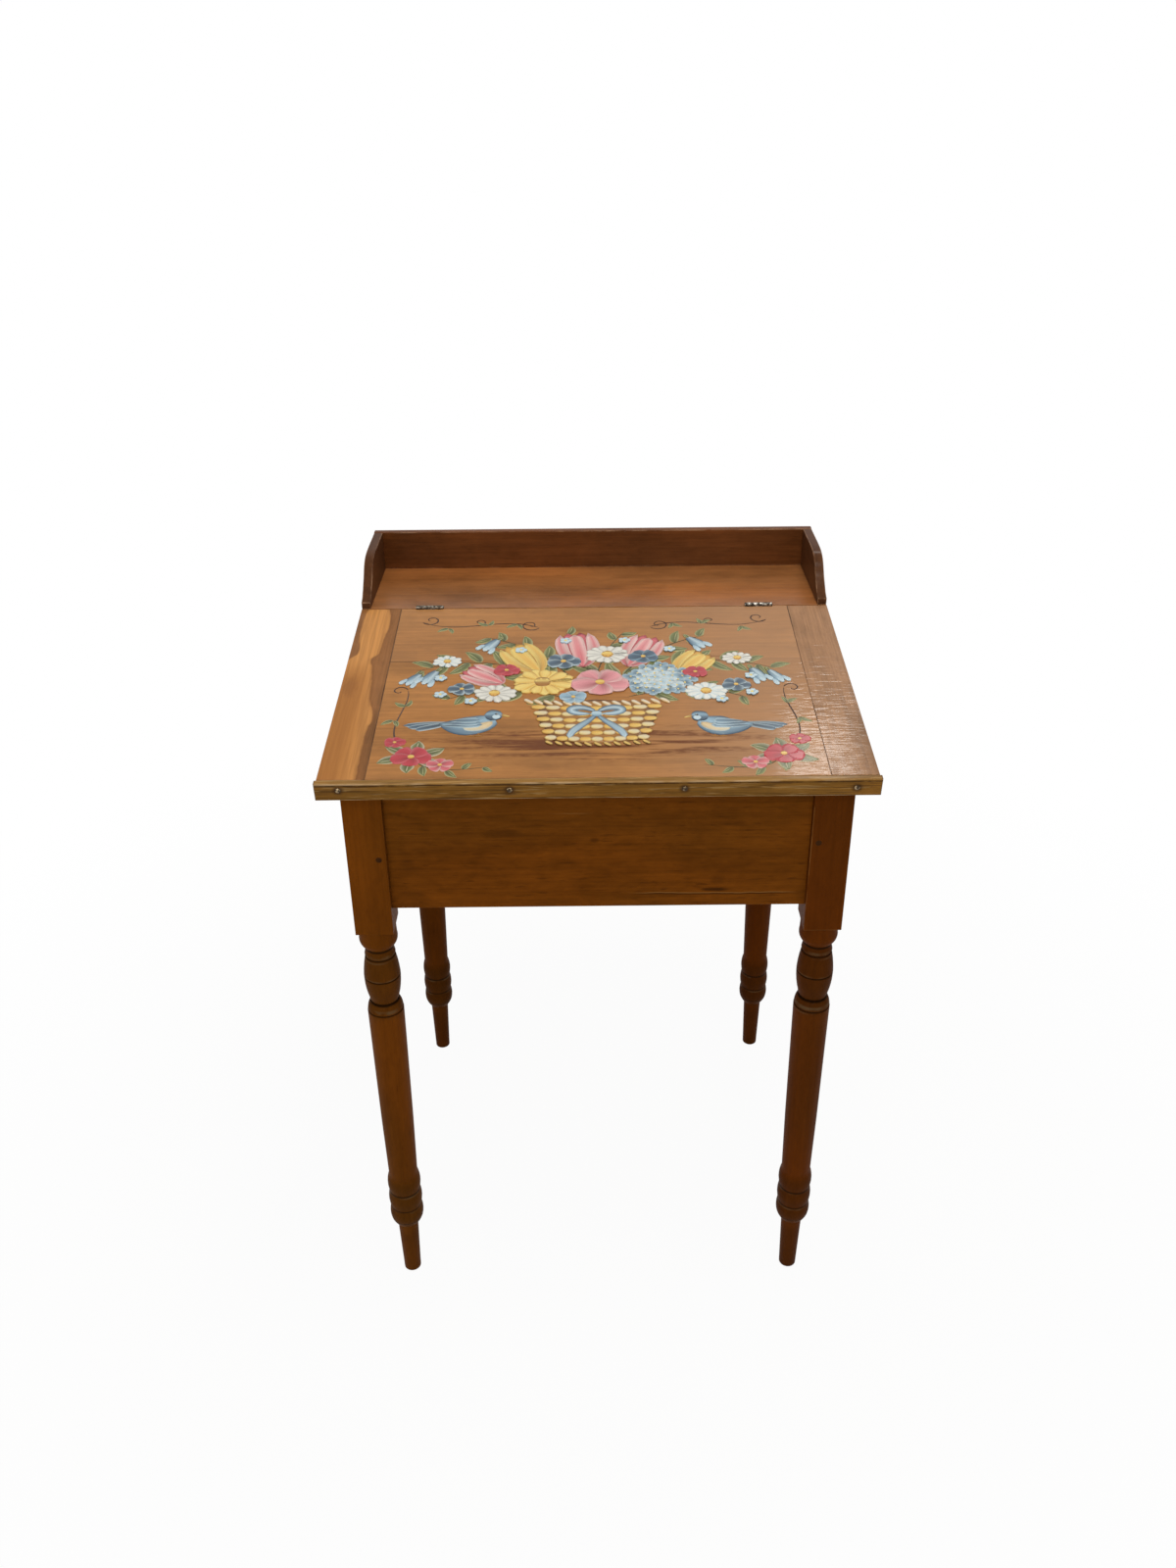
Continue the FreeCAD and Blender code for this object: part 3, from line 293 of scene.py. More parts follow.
class Wood(Nodes):
    """Stained and varnished wood whose grain runs along one axis of the desk.

    Slow bands, fine fibres, short pores and a blotchy stain each move the stain's tone a little
    about its middle, as the shares given for them say."""

    def __init__(self, name, grain, stain, centre=(0, 0, 0), bands=0.16, fibres=0.4, blotches=0.35,
                 mottle=0.25, warm=(1.1, 1.0, 0.85), rings=3.0, tilt=0.0):
        super().__init__(bpy.data.materials.new(name))
        self.place = self.add("ShaderNodeTexCoord").outputs["Object"]
        moved = self.vectors("SUBTRACT", self.place, centre)
        self.flat = self.add("ShaderNodeMapping", Vector=moved, Rotation=(-tilt, 0, 0)).outputs[0]
        self.along = self.add("ShaderNodeMapping", Vector=self.flat, Rotation=GRAIN_TURNS[grain]).outputs[0]
        slow = self.drawn_noise(SLOW_SCALE, detail=2, roughness=0.4, distortion=0.4)
        waves = self.maths("SINE", self.times(slow, rings * 2 * math.pi))
        self.fine_fibres = self.drawn_noise(FINE_SCALE, detail=3, roughness=0.7)
        self.broad_fibres = self.drawn_noise(BROAD_SCALE, detail=3, roughness=0.6)
        self.pores = self.span(self.drawn_noise(PORE_SCALE, detail=1, roughness=0.5), 0.64, 0.74)
        clouds = self.drawn_noise(CLOUD_SCALE, detail=3, roughness=0.55)
        curls = self.drawn_noise(CURL_SCALE, detail=3, roughness=0.6, distortion=0.6)
        tone = self.scale_add(waves, bands / 2, 1.0)
        for layer, share in ((self.fine_fibres, fibres), (self.broad_fibres, fibres * BROAD_SHARE),
                             (clouds, blotches * 2), (curls, mottle)):
            tone = self.scale_add(self.minus(layer, 0.5), share, tone)
        tone = self.scale_add(self.pores, -PORE_DEPTH, tone)
        hue = self.drawn_noise(HUE_SCALE, detail=1, roughness=0.5)
        warmed = self.mix(self.span(hue, 0.4, 0.62), (1, 1, 1, 1), (*warm, 1))
        self.colour = self.mix(1.0, self.toned(stain, tone), warmed, "MULTIPLY")

    def drawn_noise(self, scale, detail, roughness, distortion=0.0):
        """Noise drawn out along the grain: its scale there comes first."""
        return self.noise(self.along, scale, detail, roughness, distortion)

    def world_axes(self):
        """The place on the desk: x, y and z as three values."""
        split = self.add("ShaderNodeSeparateXYZ")
        self.feed(split.inputs[0], self.place)
        return split.outputs

    def patch(self, centre, reach, ragged=0.4):
        """A soft-edged patch about a place on the desk, with a ragged outline."""
        away = self.vectors("SUBTRACT", self.place, centre)
        distance = self.vectors("LENGTH", self.vectors("DIVIDE", away, reach))
        rag = self.minus(self.drawn_noise(RAG_SCALE, detail=3, roughness=0.6), 0.5)
        return self.rest(self.span(self.scale_add(rag, ragged * 2, distance), 0.3, 1.0))

    def seam(self, height, slope, start, end, width, wander=0.002):
        """A thin line along a board's face, at a height that wanders as it goes from start to end."""
        along, _, rise = self.world_axes()
        level = self.scale_add(along, slope, height)
        stray = self.add("ShaderNodeTexNoise", {"noise_dimensions": "1D"}, W=self.times(along, SEAM_WAVES),
                         Scale=1.0, Detail=2.0)
        level = self.scale_add(self.minus(stray.outputs["Fac"], 0.5), wander * 2, level)
        near = self.rest(self.span(self.size(self.minus(rise, level)), width * 0.3, width))
        ends = self.times(self.span(along, start, start + SEAM_START_BLUR),
                          self.rest(self.span(along, end - SEAM_END_BLUR, end)))
        return self.times(near, ends)

    def band(self, low_edge, high_edge, blur):
        """The stretch of an upright piece between two heights, its ends blurred."""
        height = self.world_axes()[2]
        return self.minus(self.span(height, low_edge - blur, low_edge + blur),
                          self.span(height, high_edge - blur, high_edge + blur))

    def shade(self, mask, colour, strength=1.0, blend="MIX"):
        """Lay a colour over the wood where a mask says."""
        amount = self.maths("MULTIPLY", mask, strength, clamp=True)
        self.colour = self.mix(amount, self.colour, (*colour, 1), blend)

    def wear(self, colour, strength=0.5):
        """Paler arrises, rubbed through in places."""
        worn = self.add("ShaderNodeAttribute", {"attribute_name": "worn"}).outputs["Fac"]
        patchy = self.drawn_noise(RUB_SCALE, detail=2, roughness=0.6)
        self.shade(self.times(worn, self.span(patchy, 0.35, 0.65)), colour, strength)

    def curve(self, value, points):
        """A smooth line through a few points, read at a value; both run from 0 to 1."""
        node = self.add("ShaderNodeFloatCurve")
        line = node.mapping.curves[0]
        while len(line.points) < len(points):
            line.points.new(0.5, 0.5)
        for point, spot in zip(line.points, points):
            point.location = spot
        node.mapping.update()
        self.feed(node.inputs["Value"], value)
        return node.outputs[0]

    def varnish(self, roughness=0.5, coat=0.0, coat_roughness=0.14, specular=0.06, tint=(1.0, 0.72, 0.42),
                brush_marks=0.0):
        """Close the finish: varnish over the wood, warmed by its own amber tint."""
        spread = self.scale_add(self.fine_fibres, ROUGHNESS_SPREAD, roughness - ROUGHNESS_SPREAD / 2)
        height = self.scale_add(self.pores, -FIBRE_RELIEF, self.fine_fibres)
        height = self.scale_add(self.broad_fibres, FIBRE_RELIEF, height)
        bump = self.add("ShaderNodeBump", Strength=RELIEF_STRENGTH, Distance=RELIEF, Height=height)
        surface = self.add("ShaderNodeBsdfPrincipled", Base_Color=self.colour, Roughness=spread,
                           Normal=bump.outputs[0], Specular_IOR_Level=specular, Specular_Tint=(*tint, 1),
                           Coat_Weight=coat, Coat_Roughness=coat_roughness, Coat_IOR=VARNISH_IOR)
        if brush_marks:
            marks = self.noise(self.flat, BRUSH_MARKS, detail=1.0, roughness=0.45)
            film = self.add("ShaderNodeBump", Strength=1.0, Distance=brush_marks, Height=marks)
            self.feed(surface.inputs["Coat Normal"], film.outputs[0])
        return self.finish(surface.outputs[0])


def dress(piece, material):
    piece.data.materials.clear()
    piece.data.materials.append(material)


LEG_STAINS = {"leg_front_left": (0.14, 0.042, 0.0035), "leg_front_right": (0.1, 0.026, 0.0025),
              "leg_back_left": (0.1, 0.027, 0.002), "leg_back_right": (0.09, 0.023, 0.002)}
LEG_WORN = (0.3, 0.13, 0.035)
LEG_PAINTED_SHADE = (0.012, 0.005, 0.0015)
LEG_BROWN = (0.5, 0.62, 0.9)
LEG_TURNED = ((0.456, 0.551), (0.09, 0.176))
LEG_GROOVES = ((0.5505, 0.0016), (0.5384, 0.0009), (0.5083, 0.0009), (0.4718, 0.0018), (0.4577, 0.001),
               (0.1508, 0.0012), (0.1229, 0.0008), (0.101, 0.0006))
LEG_HIGHLIGHT_RINGS = ((0.5425, 0.0018), (0.5355, 0.0006), (0.5105, 0.0007), (0.4625, 0.0022), (0.4552, 0.0006),
            (0.1485, 0.0009), (0.1205, 0.0007))
LEG_PAINTED_HIGHLIGHT, LEG_HIGHLIGHT_SCALE = (0.16, 0.11, 0.055), (60, 40, 40)
LEG_SHADED_FOOT = (0.07, 0.088)
TURNED_AGAIN = ((0.05, 0, 1.02), (0.459, 0, 1.02), (0.4635, 0.0075, 1.0), (0.4665, 0.006, 1.0),
                (0.4688, 0.0057, 1.0), (0.4727, 0.0053, 0.99), (0.49, 0.001, 0.99), (0.505, 0, 1.01),
                (0.5384, 0, 1.03), (0.5435, 0.006, 1.03), (0.5465, 0.006, 1.03), (0.5595, 0.009, 1.02),
                (0.5805, 0, 1.02))


def turn_again(piece, centre):
    """Shorten the collar and fill out the beads below it, as the turner left them."""
    for vert in piece.data.vertices:
        for below, above in zip(TURNED_AGAIN, TURNED_AGAIN[1:]):
            if below[0] < vert.co.z <= above[0]:
                share = (vert.co.z - below[0]) / (above[0] - below[0])
                lift, girth = (low + (high - low) * share for low, high in zip(below[1:], above[1:]))
                vert.co.x = centre.x + (vert.co.x - centre.x) * girth
                vert.co.y = centre.y + (vert.co.y - centre.y) * girth
                vert.co.z += lift
                break


for index, (leg_name, leg_stain) in enumerate(LEG_STAINS.items()):
    low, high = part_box(leg_name)
    leg = eased(leg_name, "case")
    turn_again(leg, (low + high) / 2)
    stain = Wood(f"{leg_name}_stain", "z", leg_stain, centre=(low + high) / 2 + Vector((0, 0, index)),
                 fibres=0.32, blotches=0.34, mottle=0.42)
    for low_edge, high_edge in LEG_TURNED:
        stain.shade(stain.band(low_edge, high_edge, 0.008), LEG_BROWN, 0.6, "MULTIPLY")
    # Painted shade: each turned groove is darkened where it would lie in shade.
    for height, half in LEG_GROOVES:
        stain.shade(stain.band(height - half, height + half, 0.0009), LEG_PAINTED_SHADE, 0.85)
    # Painted highlights: a paler ring on each bead's lip and on the shoulder, broken into patches, stands in
    # for the lamps' highlights.
    rubbed = stain.span(stain.drawn_noise(LEG_HIGHLIGHT_SCALE, detail=2, roughness=0.6), 0.4, 0.62)
    for height, half in LEG_HIGHLIGHT_RINGS:
        lip = stain.band(height - half, height + half, 0.0012)
        stain.shade(stain.times(lip, rubbed), LEG_PAINTED_HIGHLIGHT, 0.45)
    # Painted shade: the feet are darkened below the lowest ring, against the light the floor throws up.
    shaded_foot = stain.rest(stain.span(stain.world_axes()[2], *LEG_SHADED_FOOT))
    stain.shade(shaded_foot, LEG_PAINTED_SHADE, 0.2)
    stain.wear(LEG_WORN, 0.7)
    dress(leg, stain.varnish(roughness=0.5, specular=0.015, coat=0.02))

# Four aprons of the same stained wood join the posts, each tenoned at both ends; the front and
# side ones follow the slope of the lid along their top edge.

APRON_STAIN = (0.15, 0.046, 0.004)
APRON_WORN = (0.26, 0.1, 0.025)
APRON_FLECK_AND_SHADOW, APRON_CRACK_LIP = (0.045, 0.013, 0.002), (0.27, 0.125, 0.035)
APRON_MARKS = (((0.1345, -0.235, 0.635), (0.021, 0.05, 0.0035), 0.85),
               ((0.137, -0.235, 0.648), (0.012, 0.05, 0.009), 0.3),
               ((-0.105, -0.235, 0.713), (0.03, 0.05, 0.008), 0.33),
               ((-0.217, -0.235, 0.672), (0.012, 0.05, 0.012), 0.25),
               ((-0.004, -0.235, 0.703), (0.007, 0.05, 0.004), 0.5),
               ((0.15, -0.235, 0.724), (0.022, 0.05, 0.005), 0.28),
               ((-0.05, -0.235, 0.728), (0.016, 0.05, 0.004), 0.25))
APRON_CRACKS = (((0.6312, -0.004, 0.03, 0.236, 0.0011), APRON_CRACK_LIP, 0.75),
                ((0.6298, -0.004, 0.03, 0.236, 0.0012), APRON_FLECK_AND_SHADOW, 0.8),
                ((0.7395, 0.02, -0.06, 0.0, 0.0009), APRON_CRACK_LIP, 0.5))
APRON_SHADOW_HEIGHTS, APRON_FLECK_SCALE = (0.764, 0.79), (38, 320, 320)

for index, (apron_name, grain) in enumerate((("apron_front", "x"), ("apron_back", "x"),
                                             ("apron_left", "y"), ("apron_right", "y"))):
    low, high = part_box(apron_name)
    apron = eased(apron_name, "case", ease=0.0007)
    stain = Wood(f"{apron_name}_stain", grain, APRON_STAIN,
                 centre=(low + high) / 2 + Vector((0.3 * index, 0, 0.1 * index)), fibres=0.45, blotches=0.4,
                 mottle=0.8)
    # Painted shadow: a darker band high on each apron, under the lid's overhang.
    stain.shade(stain.span(stain.world_axes()[2], *APRON_SHADOW_HEIGHTS), APRON_FLECK_AND_SHADOW, 0.55)
    flecks = stain.drawn_noise(APRON_FLECK_SCALE, detail=2, roughness=0.5, distortion=0.4)
    stain.shade(stain.span(flecks, 0.6, 0.72), APRON_FLECK_AND_SHADOW, 0.45)
    if apron_name == "apron_front":
        for place, reach, depth in APRON_MARKS:
            stain.shade(stain.patch(place, reach), APRON_FLECK_AND_SHADOW, depth)
        for crack, colour, depth in APRON_CRACKS:
            stain.shade(stain.seam(*crack), colour, depth)
    stain.wear(APRON_WORN, 0.4)
    dress(apron, stain.varnish(roughness=0.5, specular=0.03, coat=0.01))

# Eight round wooden pegs are driven through the tenons and cut off flush with the posts. Their
# end grain takes the stain darker than the posts do.

PEG_STAIN = (0.05, 0.018, 0.005)


def finish_nodes(node_names, material):
    """Give a finish to pieces that are shown as they were built."""
    for node_name in node_names:
        nodes[node_name].data.materials.clear()
        nodes[node_name].data.materials.append(material)


finish_nodes(["tenon_pegs"], Wood("peg_stain", "y", PEG_STAIN, fibres=0.8).varnish())

# Inside the case, cleats, bottom boards and glue blocks are plain, unvarnished wood that has
# darkened with age.

INSIDE_WOOD = (0.34, 0.2, 0.1)

for index, (node_name, grain) in enumerate((
        ("cleat_front", "x"), ("cleat_back", "x"), ("cleat_left", "y"), ("cleat_right", "y"),
        ("bottom_board_front", "x"), ("bottom_board_back", "x"), ("shelf_glue_blocks", "x"))):
    piece = eased(node_name, "case", ease=0.0006)
    stain = Wood(f"{node_name}_wood", grain, INSIDE_WOOD, centre=Vector((0.3 * index, 0.21 * index, 0)),
                 bands=0.3, fibres=0.35, rings=8)
    dress(piece, stain.varnish(roughness=0.7))

# The shelf behind the lid and the low gallery round it: a back board and two ends sawn to a long
# ogee, all stained reddish brown and varnished.

SHELF_STAIN = (0.285, 0.112, 0.035)
GALLERY_STAIN = (0.12, 0.042, 0.013)
# The ends' stain is darker than the back board's: painted shade on their outer faces.
GALLERY_END_SHADED_STAIN = (0.085, 0.032, 0.012)
GALLERY_WORN = (0.36, 0.2, 0.11)

shelf = eased("shelf", "case", ease=0.001)
stain = Wood("shelf_stain", "x", SHELF_STAIN, centre=(0.1, 0.2, 0.84), fibres=0.42, blotches=0.7, mottle=0.6)
stain.wear(GALLERY_WORN, 0.5)
dress(shelf, stain.varnish(roughness=0.3, specular=0.2, coat=0.1))

OGEE = ((0.1106, 0.847), (0.1106, 0.8555), (0.115, 0.8572), (0.1195, 0.8592), (0.1235, 0.8615),
        (0.127, 0.864), (0.1305, 0.8665), (0.134, 0.8693), (0.1375, 0.872), (0.141, 0.8748), (0.144, 0.8777),
        (0.147, 0.8808), (0.1498, 0.884), (0.1528, 0.887), (0.156, 0.8898), (0.16, 0.8924), (0.1645, 0.8946),
        (0.1695, 0.8964), (0.176, 0.8979), (0.185, 0.8988), (0.197, 0.8993), (0.212, 0.8995),
        (0.261, 0.8995), (0.261, 0.847))
GALLERY_EASE, CURVE_EDGE = 0.0012, 0.002


def sawn(outline, left, right):
    """A board sawn to an outline, given as places in the plane across the desk."""
    shape = bmesh.new()
    end_face = shape.faces.new([shape.verts.new((left, y, z)) for y, z in outline])
    carried = bmesh.ops.extrude_face_region(shape, geom=[end_face])
    bmesh.ops.translate(shape, vec=(right - left, 0, 0),
                        verts=[part for part in carried["geom"] if isinstance(part, bmesh.types.BMVert)])
    bmesh.ops.recalc_face_normals(shape, faces=shape.faces)
    return shape


for index, (node_name, grain) in enumerate((("gallery_back", "x"), ("gallery_end_left", "y"),
                                            ("gallery_end_right", "y"))):
    low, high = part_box(node_name)
    if index == 0:
        piece = eased(node_name, "case", ease=GALLERY_EASE)
    else:
        shape = sawn(OGEE, low.x, high.x)
        ease_arrises(shape, GALLERY_EASE, shortest=CURVE_EDGE)
        piece = stand_in(node_name, "case", shape)
    stain = Wood(f"{node_name}_stain", grain, GALLERY_STAIN if index == 0 else GALLERY_END_SHADED_STAIN,
                 centre=(low + high) / 2 + Vector((0.2 * index, 0, 0.1)), fibres=0.5, blotches=0.5,
                 mottle=0.6)
    stain.wear(GALLERY_WORN, 0.6)
    dress(piece, stain.varnish(roughness=0.5, specular=0.03, coat=0.13, coat_roughness=0.2))

# The lid is two boards glued edge to edge, tongued into a stile at each end, in a lighter honey
# stain that shows the figure.

LID_SLOPE = math.radians(7.1)
GLUE_LINE_Y = -0.0225
BOARD_STAIN = (0.375, 0.158, 0.04)
LEFT_STILE_STAIN = (0.26, 0.108, 0.034)
LEFT_STILE_STREAK, LEFT_STILE_LOWER = (0.66, 0.3, 0.085), (0.33, 0.125, 0.028)
LEFT_STILE_RIM, LEFT_STILE_MARK = (0.17, 0.06, 0.018), ((-0.292, -0.078, 0.82), (0.012, 0.03, 0.1), 0.6)
RIGHT_STILE_STAIN = (0.335, 0.178, 0.09)
STREAK_INNER = ((0.0, 0.7), (0.1, 0.79), (0.22, 0.72), (0.29, 0.7), (0.335, 0.54), (0.37, 0.6), (0.45, 0.67),
                (0.55, 0.71), (0.68, 0.885), (0.72, 0.82), (0.9, 0.81), (1.0, 0.81))
STREAK_OUTER = ((0.0, 0.2), (0.08, 0.12), (0.2, 0.15), (0.275, 0.21), (0.31, 0.1), (0.34, 0.0), (1.0, 0.0))
LID_BACK_Y, LID_BACK_Z = 0.10835, 0.847
LID_DEPTH = 0.3814
LID_FACE = LID_BACK_Z - LID_BACK_Y * math.tan(LID_SLOPE)
LID_HALF, STILE_WIDTH, STILE_JOINT = 0.303, 0.052, 0.251
LID_JOINT = (0.03, 0.012, 0.005)
LID_WORN = (0.46, 0.24, 0.11)
LID_KNOT = (0.1, 0.045, 0.018)
LID_KNOTS = (((0.123, -0.019, 0.83), (0.017, 0.0075, 0.05), 0.4, 0.85),
             ((0.131, -0.016, 0.83), (0.04, 0.003, 0.05), 0.8, 0.5),
             ((-0.02, 0.05, 0.84), (0.05, 0.006, 0.05), 0.8, 0.3))
LID_FADE_AND_GLARE = (0.42, 0.25, 0.15)
GROUND_SHADE, GROUND_PATCH = (0.11, 0.03, 0.012), ((0.0, -0.199, 0.805), (0.255, 0.042, 0.2), 0.5)
JOINT_SCALE, RAGGED_SCALE, STREAK_SCALE, SHADE_SCALE = (9, 9, 9), (45, 8, 1), (5, 190, 1), (7, 105, 1)
BRUSH_HEIGHT = 0.00022

for index, (node_name, grain, lid_stain) in enumerate((
        ("lid_board_front", "x", BOARD_STAIN), ("lid_board_back", "x", BOARD_STAIN),
        ("lid_stile_left", "y", LEFT_STILE_STAIN), ("lid_stile_right", "y", RIGHT_STILE_STAIN))):
    low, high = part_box(node_name)
    piece = eased(node_name, "lid", ease=0.0005, sharp=lambda middle: abs(middle.y - GLUE_LINE_Y) < 0.004)
    stain = Wood(f"{node_name}_stain", grain, lid_stain, centre=(low + high) / 2, tilt=LID_SLOPE,
                 fibres=0.5, blotches=0.38, mottle=0.5, warm=(1.0, 1.03, 1.1))
    across, back, rise = stain.world_axes()
    rise = stain.scale_add(back, -math.tan(LID_SLOPE), rise)
    face = stain.span(rise, LID_FACE - 0.005, LID_FACE - 0.003)
    joint = stain.size(stain.minus(stain.size(across), STILE_JOINT))
    fitted = stain.span(stain.drawn_noise(JOINT_SCALE, detail=2, roughness=0.5), 0.35, 0.6, 0.55, 1.0)
    line = stain.rest(stain.span(joint, 0.0003, 0.0011))
    stain.shade(stain.times(line, fitted), LID_JOINT, 0.95)
    if node_name == "lid_stile_left":
        down = stain.scale_add(back, -1 / LID_DEPTH, LID_BACK_Y / LID_DEPTH)
        over = stain.scale_add(across, 1 / STILE_WIDTH, LID_HALF / STILE_WIDTH)
        ragged = stain.minus(stain.drawn_noise(RAGGED_SCALE, detail=3, roughness=0.6), 0.5)
        over = stain.scale_add(ragged, 0.07, over)
        inside = stain.minus(stain.curve(down, STREAK_INNER), over)
        inner = stain.span(inside, -0.02, 0.02)
        outer = stain.span(stain.minus(over, stain.curve(down, STREAK_OUTER)), -0.03, 0.03)
        fibrous = stain.drawn_noise(STREAK_SCALE, detail=3, roughness=0.65)
        fibrous = stain.span(fibrous, 0.36, 0.6, 0.55, 1.0)
        streak = stain.times(face, stain.times(inner, outer))
        stain.shade(stain.times(streak, fibrous), LEFT_STILE_STREAK, 0.95)
        lower = stain.times(face, stain.span(down, 0.3, 0.46))
        faded = stain.rest(stain.span(over, 0.3, 0.85))
        stain.shade(stain.times(lower, faded), LEFT_STILE_LOWER, 0.75)
        rim = stain.rest(stain.span(stain.size(inside), 0.0, 0.09))
        stain.shade(stain.times(face, rim), LEFT_STILE_RIM, 0.3)
        stain.shade(stain.patch(*LEFT_STILE_MARK), LEFT_STILE_RIM, 0.3)
    if "board" in node_name:
        glue = stain.size(stain.minus(back, GLUE_LINE_Y))
        line = stain.rest(stain.span(glue, 0.0003, 0.0012))
        left_end = stain.span(across, -0.2, -0.1, 1.0, 0.35)
        stain.shade(stain.times(line, left_end), LID_JOINT, 0.85)
        # Paler and greyer towards the right and over the back board: partly a faded stain, partly painted
        # glare of the window on the varnish.
        least = 0.4 if node_name == "lid_board_back" else 0.2
        faded_and_glare = stain.span(across, 0.0, 0.2, least, 1.0)
        stain.shade(stain.times(face, faded_and_glare), LID_FADE_AND_GLARE, 0.55)
    if node_name == "lid_board_back":
        for place, reach, ragged, depth in LID_KNOTS:
            stain.shade(stain.patch(place, reach, ragged), LID_KNOT, depth)
    if node_name == "lid_board_front":
        spread = stain.times(face, stain.patch(*GROUND_PATCH))
        brushed = stain.span(stain.drawn_noise(SHADE_SCALE, detail=3, roughness=0.55), 0.44, 0.56)
        stain.shade(stain.times(spread, brushed), GROUND_SHADE, 0.85)
    stain.wear(LID_WORN, 0.35)
    dress(piece, stain.varnish(roughness=0.5, specular=0.05, coat=0.17, coat_roughness=0.11,
                               tint=(1.0, 0.88, 0.72), brush_marks=BRUSH_HEIGHT))

# A design in oil paint decorates the lid's face: a basket of garden flowers between two birds, with
# a sprig in each front corner and thin vines. Each brush stroke is its own thin film of paint,
# thick enough to reach into the board, and later strokes lie over earlier ones.

PAINT_DEPTH = 0.0012
LAYER = 0.00002
GOLDEN_ANGLE = math.radians(137.5)
BOUQUET_GROWTH, BOUQUET_HEART = 1.22, (0, 0.21)


def lid_spot(across, down, height):
    """A place on the lid: across from its middle, down from its back edge and above its face."""
    return Vector((across,
                   LID_BACK_Y - down * math.cos(LID_SLOPE) - height * math.sin(LID_SLOPE),
                   LID_BACK_Z - down * math.sin(LID_SLOPE) + height * math.cos(LID_SLOPE)))


def bend(*points):
    """A smooth line led by a few points, as a function of the share of its length."""
    def place(share):
        line = [Vector(point) for point in points]
        while len(line) > 1:
            line = [first.lerp(second, share) for first, second in zip(line, line[1:])]
        return line[0]
    return place


def ray(angle, squash=1.0):
    """A step of one in some direction on the lid, made shorter up and down it by the squash."""
    return Vector((math.cos(angle), math.sin(angle) * squash))


def curl(start, reach, turn, turns, shrink=0.12):
    """A tendril that leaves a point and winds up on itself."""
    def place(share):
        size = reach * ((1 - share) ** 0.8 * (1 - shrink) + shrink)
        return Vector(start) - ray(turn) * reach + ray(turn + 2 * math.pi * turns * share) * size
    return place


def mirrored(side, *points):
    """A smooth line led by points given for the right of the lid, or its image on the left."""
    return bend(*((across * side, down) for across, down in points))


TEARDROP, PETAL, LEAF, COMMA, OVAL, LINE = ((1.0, 0.42), (0.7, 0.4), (0.62, 0.95), (0.3, 1.1),
                                            (0.5, 0.5), (0.12, 0.3))
FIRST_FILM = 0.00004
WOBBLE, WOBBLE_WAVES = 0.05, 9
EDGE_SHARE, LIGHT_SHARE, LIGHT_WIDTH = 0.85, 0.8, 0.38


def stroke(shape, line, width, outline, tail, head, layer, edge=None, light=None, side=0.0, cells=(10, 5)):
    """One loaded brush stroke: its colour runs from tail to head, darkens or lightens towards
    its edges, and has a lighter ridge where the brush was loaded."""
    made = bmesh.ops.create_grid(shape, x_segments=cells[0], y_segments=cells[1], size=1.0)
    paint = shape.verts.layers.float_color["paint"]
    bristles = shape.loops.layers.uv["bristles"]
    rise, fall = outline
    peak = rise / (rise + fall)
    full = peak ** rise * (1 - peak) ** fall
    chance = random.random() * 40
    wobble = random.random() * 6
    places = {}
    for vert in made["verts"]:
        share, cross = (vert.co.x + 1) / 2, vert.co.y
        places[vert] = (share, cross)
        middle = line(share)
        onward = line(min(1, share + 0.01)) - line(max(0, share - 0.01))
        onward.normalize()
        half = width * (share ** rise) * ((1 - share) ** fall) / full
        half *= 1 + WOBBLE * math.sin(wobble + WOBBLE_WAVES * share)
        spot = middle + Vector((-onward.y, onward.x)) * cross * half
        vert.co = lid_spot(spot.x, spot.y, layer * LAYER + FIRST_FILM)
        shade = Vector(tail).lerp(Vector(head), share)
        if edge:
            shade = shade.lerp(Vector(edge), EDGE_SHARE * abs(cross) ** 3)
        if light:
            ridge = math.exp(-((cross - side) / LIGHT_WIDTH) ** 2)
            shade = shade.lerp(Vector(light), LIGHT_SHARE * ridge)
        vert[paint] = (*shade, 1)
    for face in {face for vert in made["verts"] for face in vert.link_faces}:
        for loop in face.loops:
            share, cross = places[loop.vert]
            loop[bristles].uv = (share + chance, cross + chance)
    bmesh.ops.remove_doubles(shape, verts=made["verts"], dist=1e-6)


def dab(shape, centre, size, colour, layer, edge=None, light=None):
    """A round touch of the brush."""
    start, end = Vector(centre) - ray(0) * size, Vector(centre) + ray(0) * size
    stroke(shape, bend(start, end), size, OVAL, colour, colour, layer, edge, light, -0.35, (8, 6))


INK = (0.045, 0.018, 0.008)
DEEP_GREEN, MOSS, LEAF_CREAM = (0.035, 0.045, 0.014), (0.14, 0.16, 0.05), (0.55, 0.52, 0.26)
CREAM, WHITE, PEARL = (0.68, 0.6, 0.42), (0.78, 0.76, 0.68), (0.5, 0.49, 0.45)
SUN, GOLD, OCHRE = (0.8, 0.62, 0.2), (0.7, 0.4, 0.08), (0.34, 0.15, 0.03)
ROSE, PINK, BLUSH, CRIMSON = (0.62, 0.14, 0.16), (0.72, 0.3, 0.32), (0.8, 0.56, 0.52), (0.2, 0.02, 0.025)
RED = (0.48, 0.05, 0.065)
SKY, MIST, SLATE, NIGHT = (0.3, 0.45, 0.55), (0.56, 0.68, 0.72), (0.075, 0.12, 0.17), (0.02, 0.026, 0.035)
ROSE_HUES, RED_HUES, GOLD_HUES = (CRIMSON, ROSE, BLUSH), (CRIMSON, RED, ROSE), (OCHRE, GOLD, SUN)
SLATE_HUES = (NIGHT, SLATE, MIST)


def canvas():
    shape = bmesh.new()
    shape.verts.layers.float_color.new("paint")
    shape.loops.layers.uv.new("bristles")
    return shape


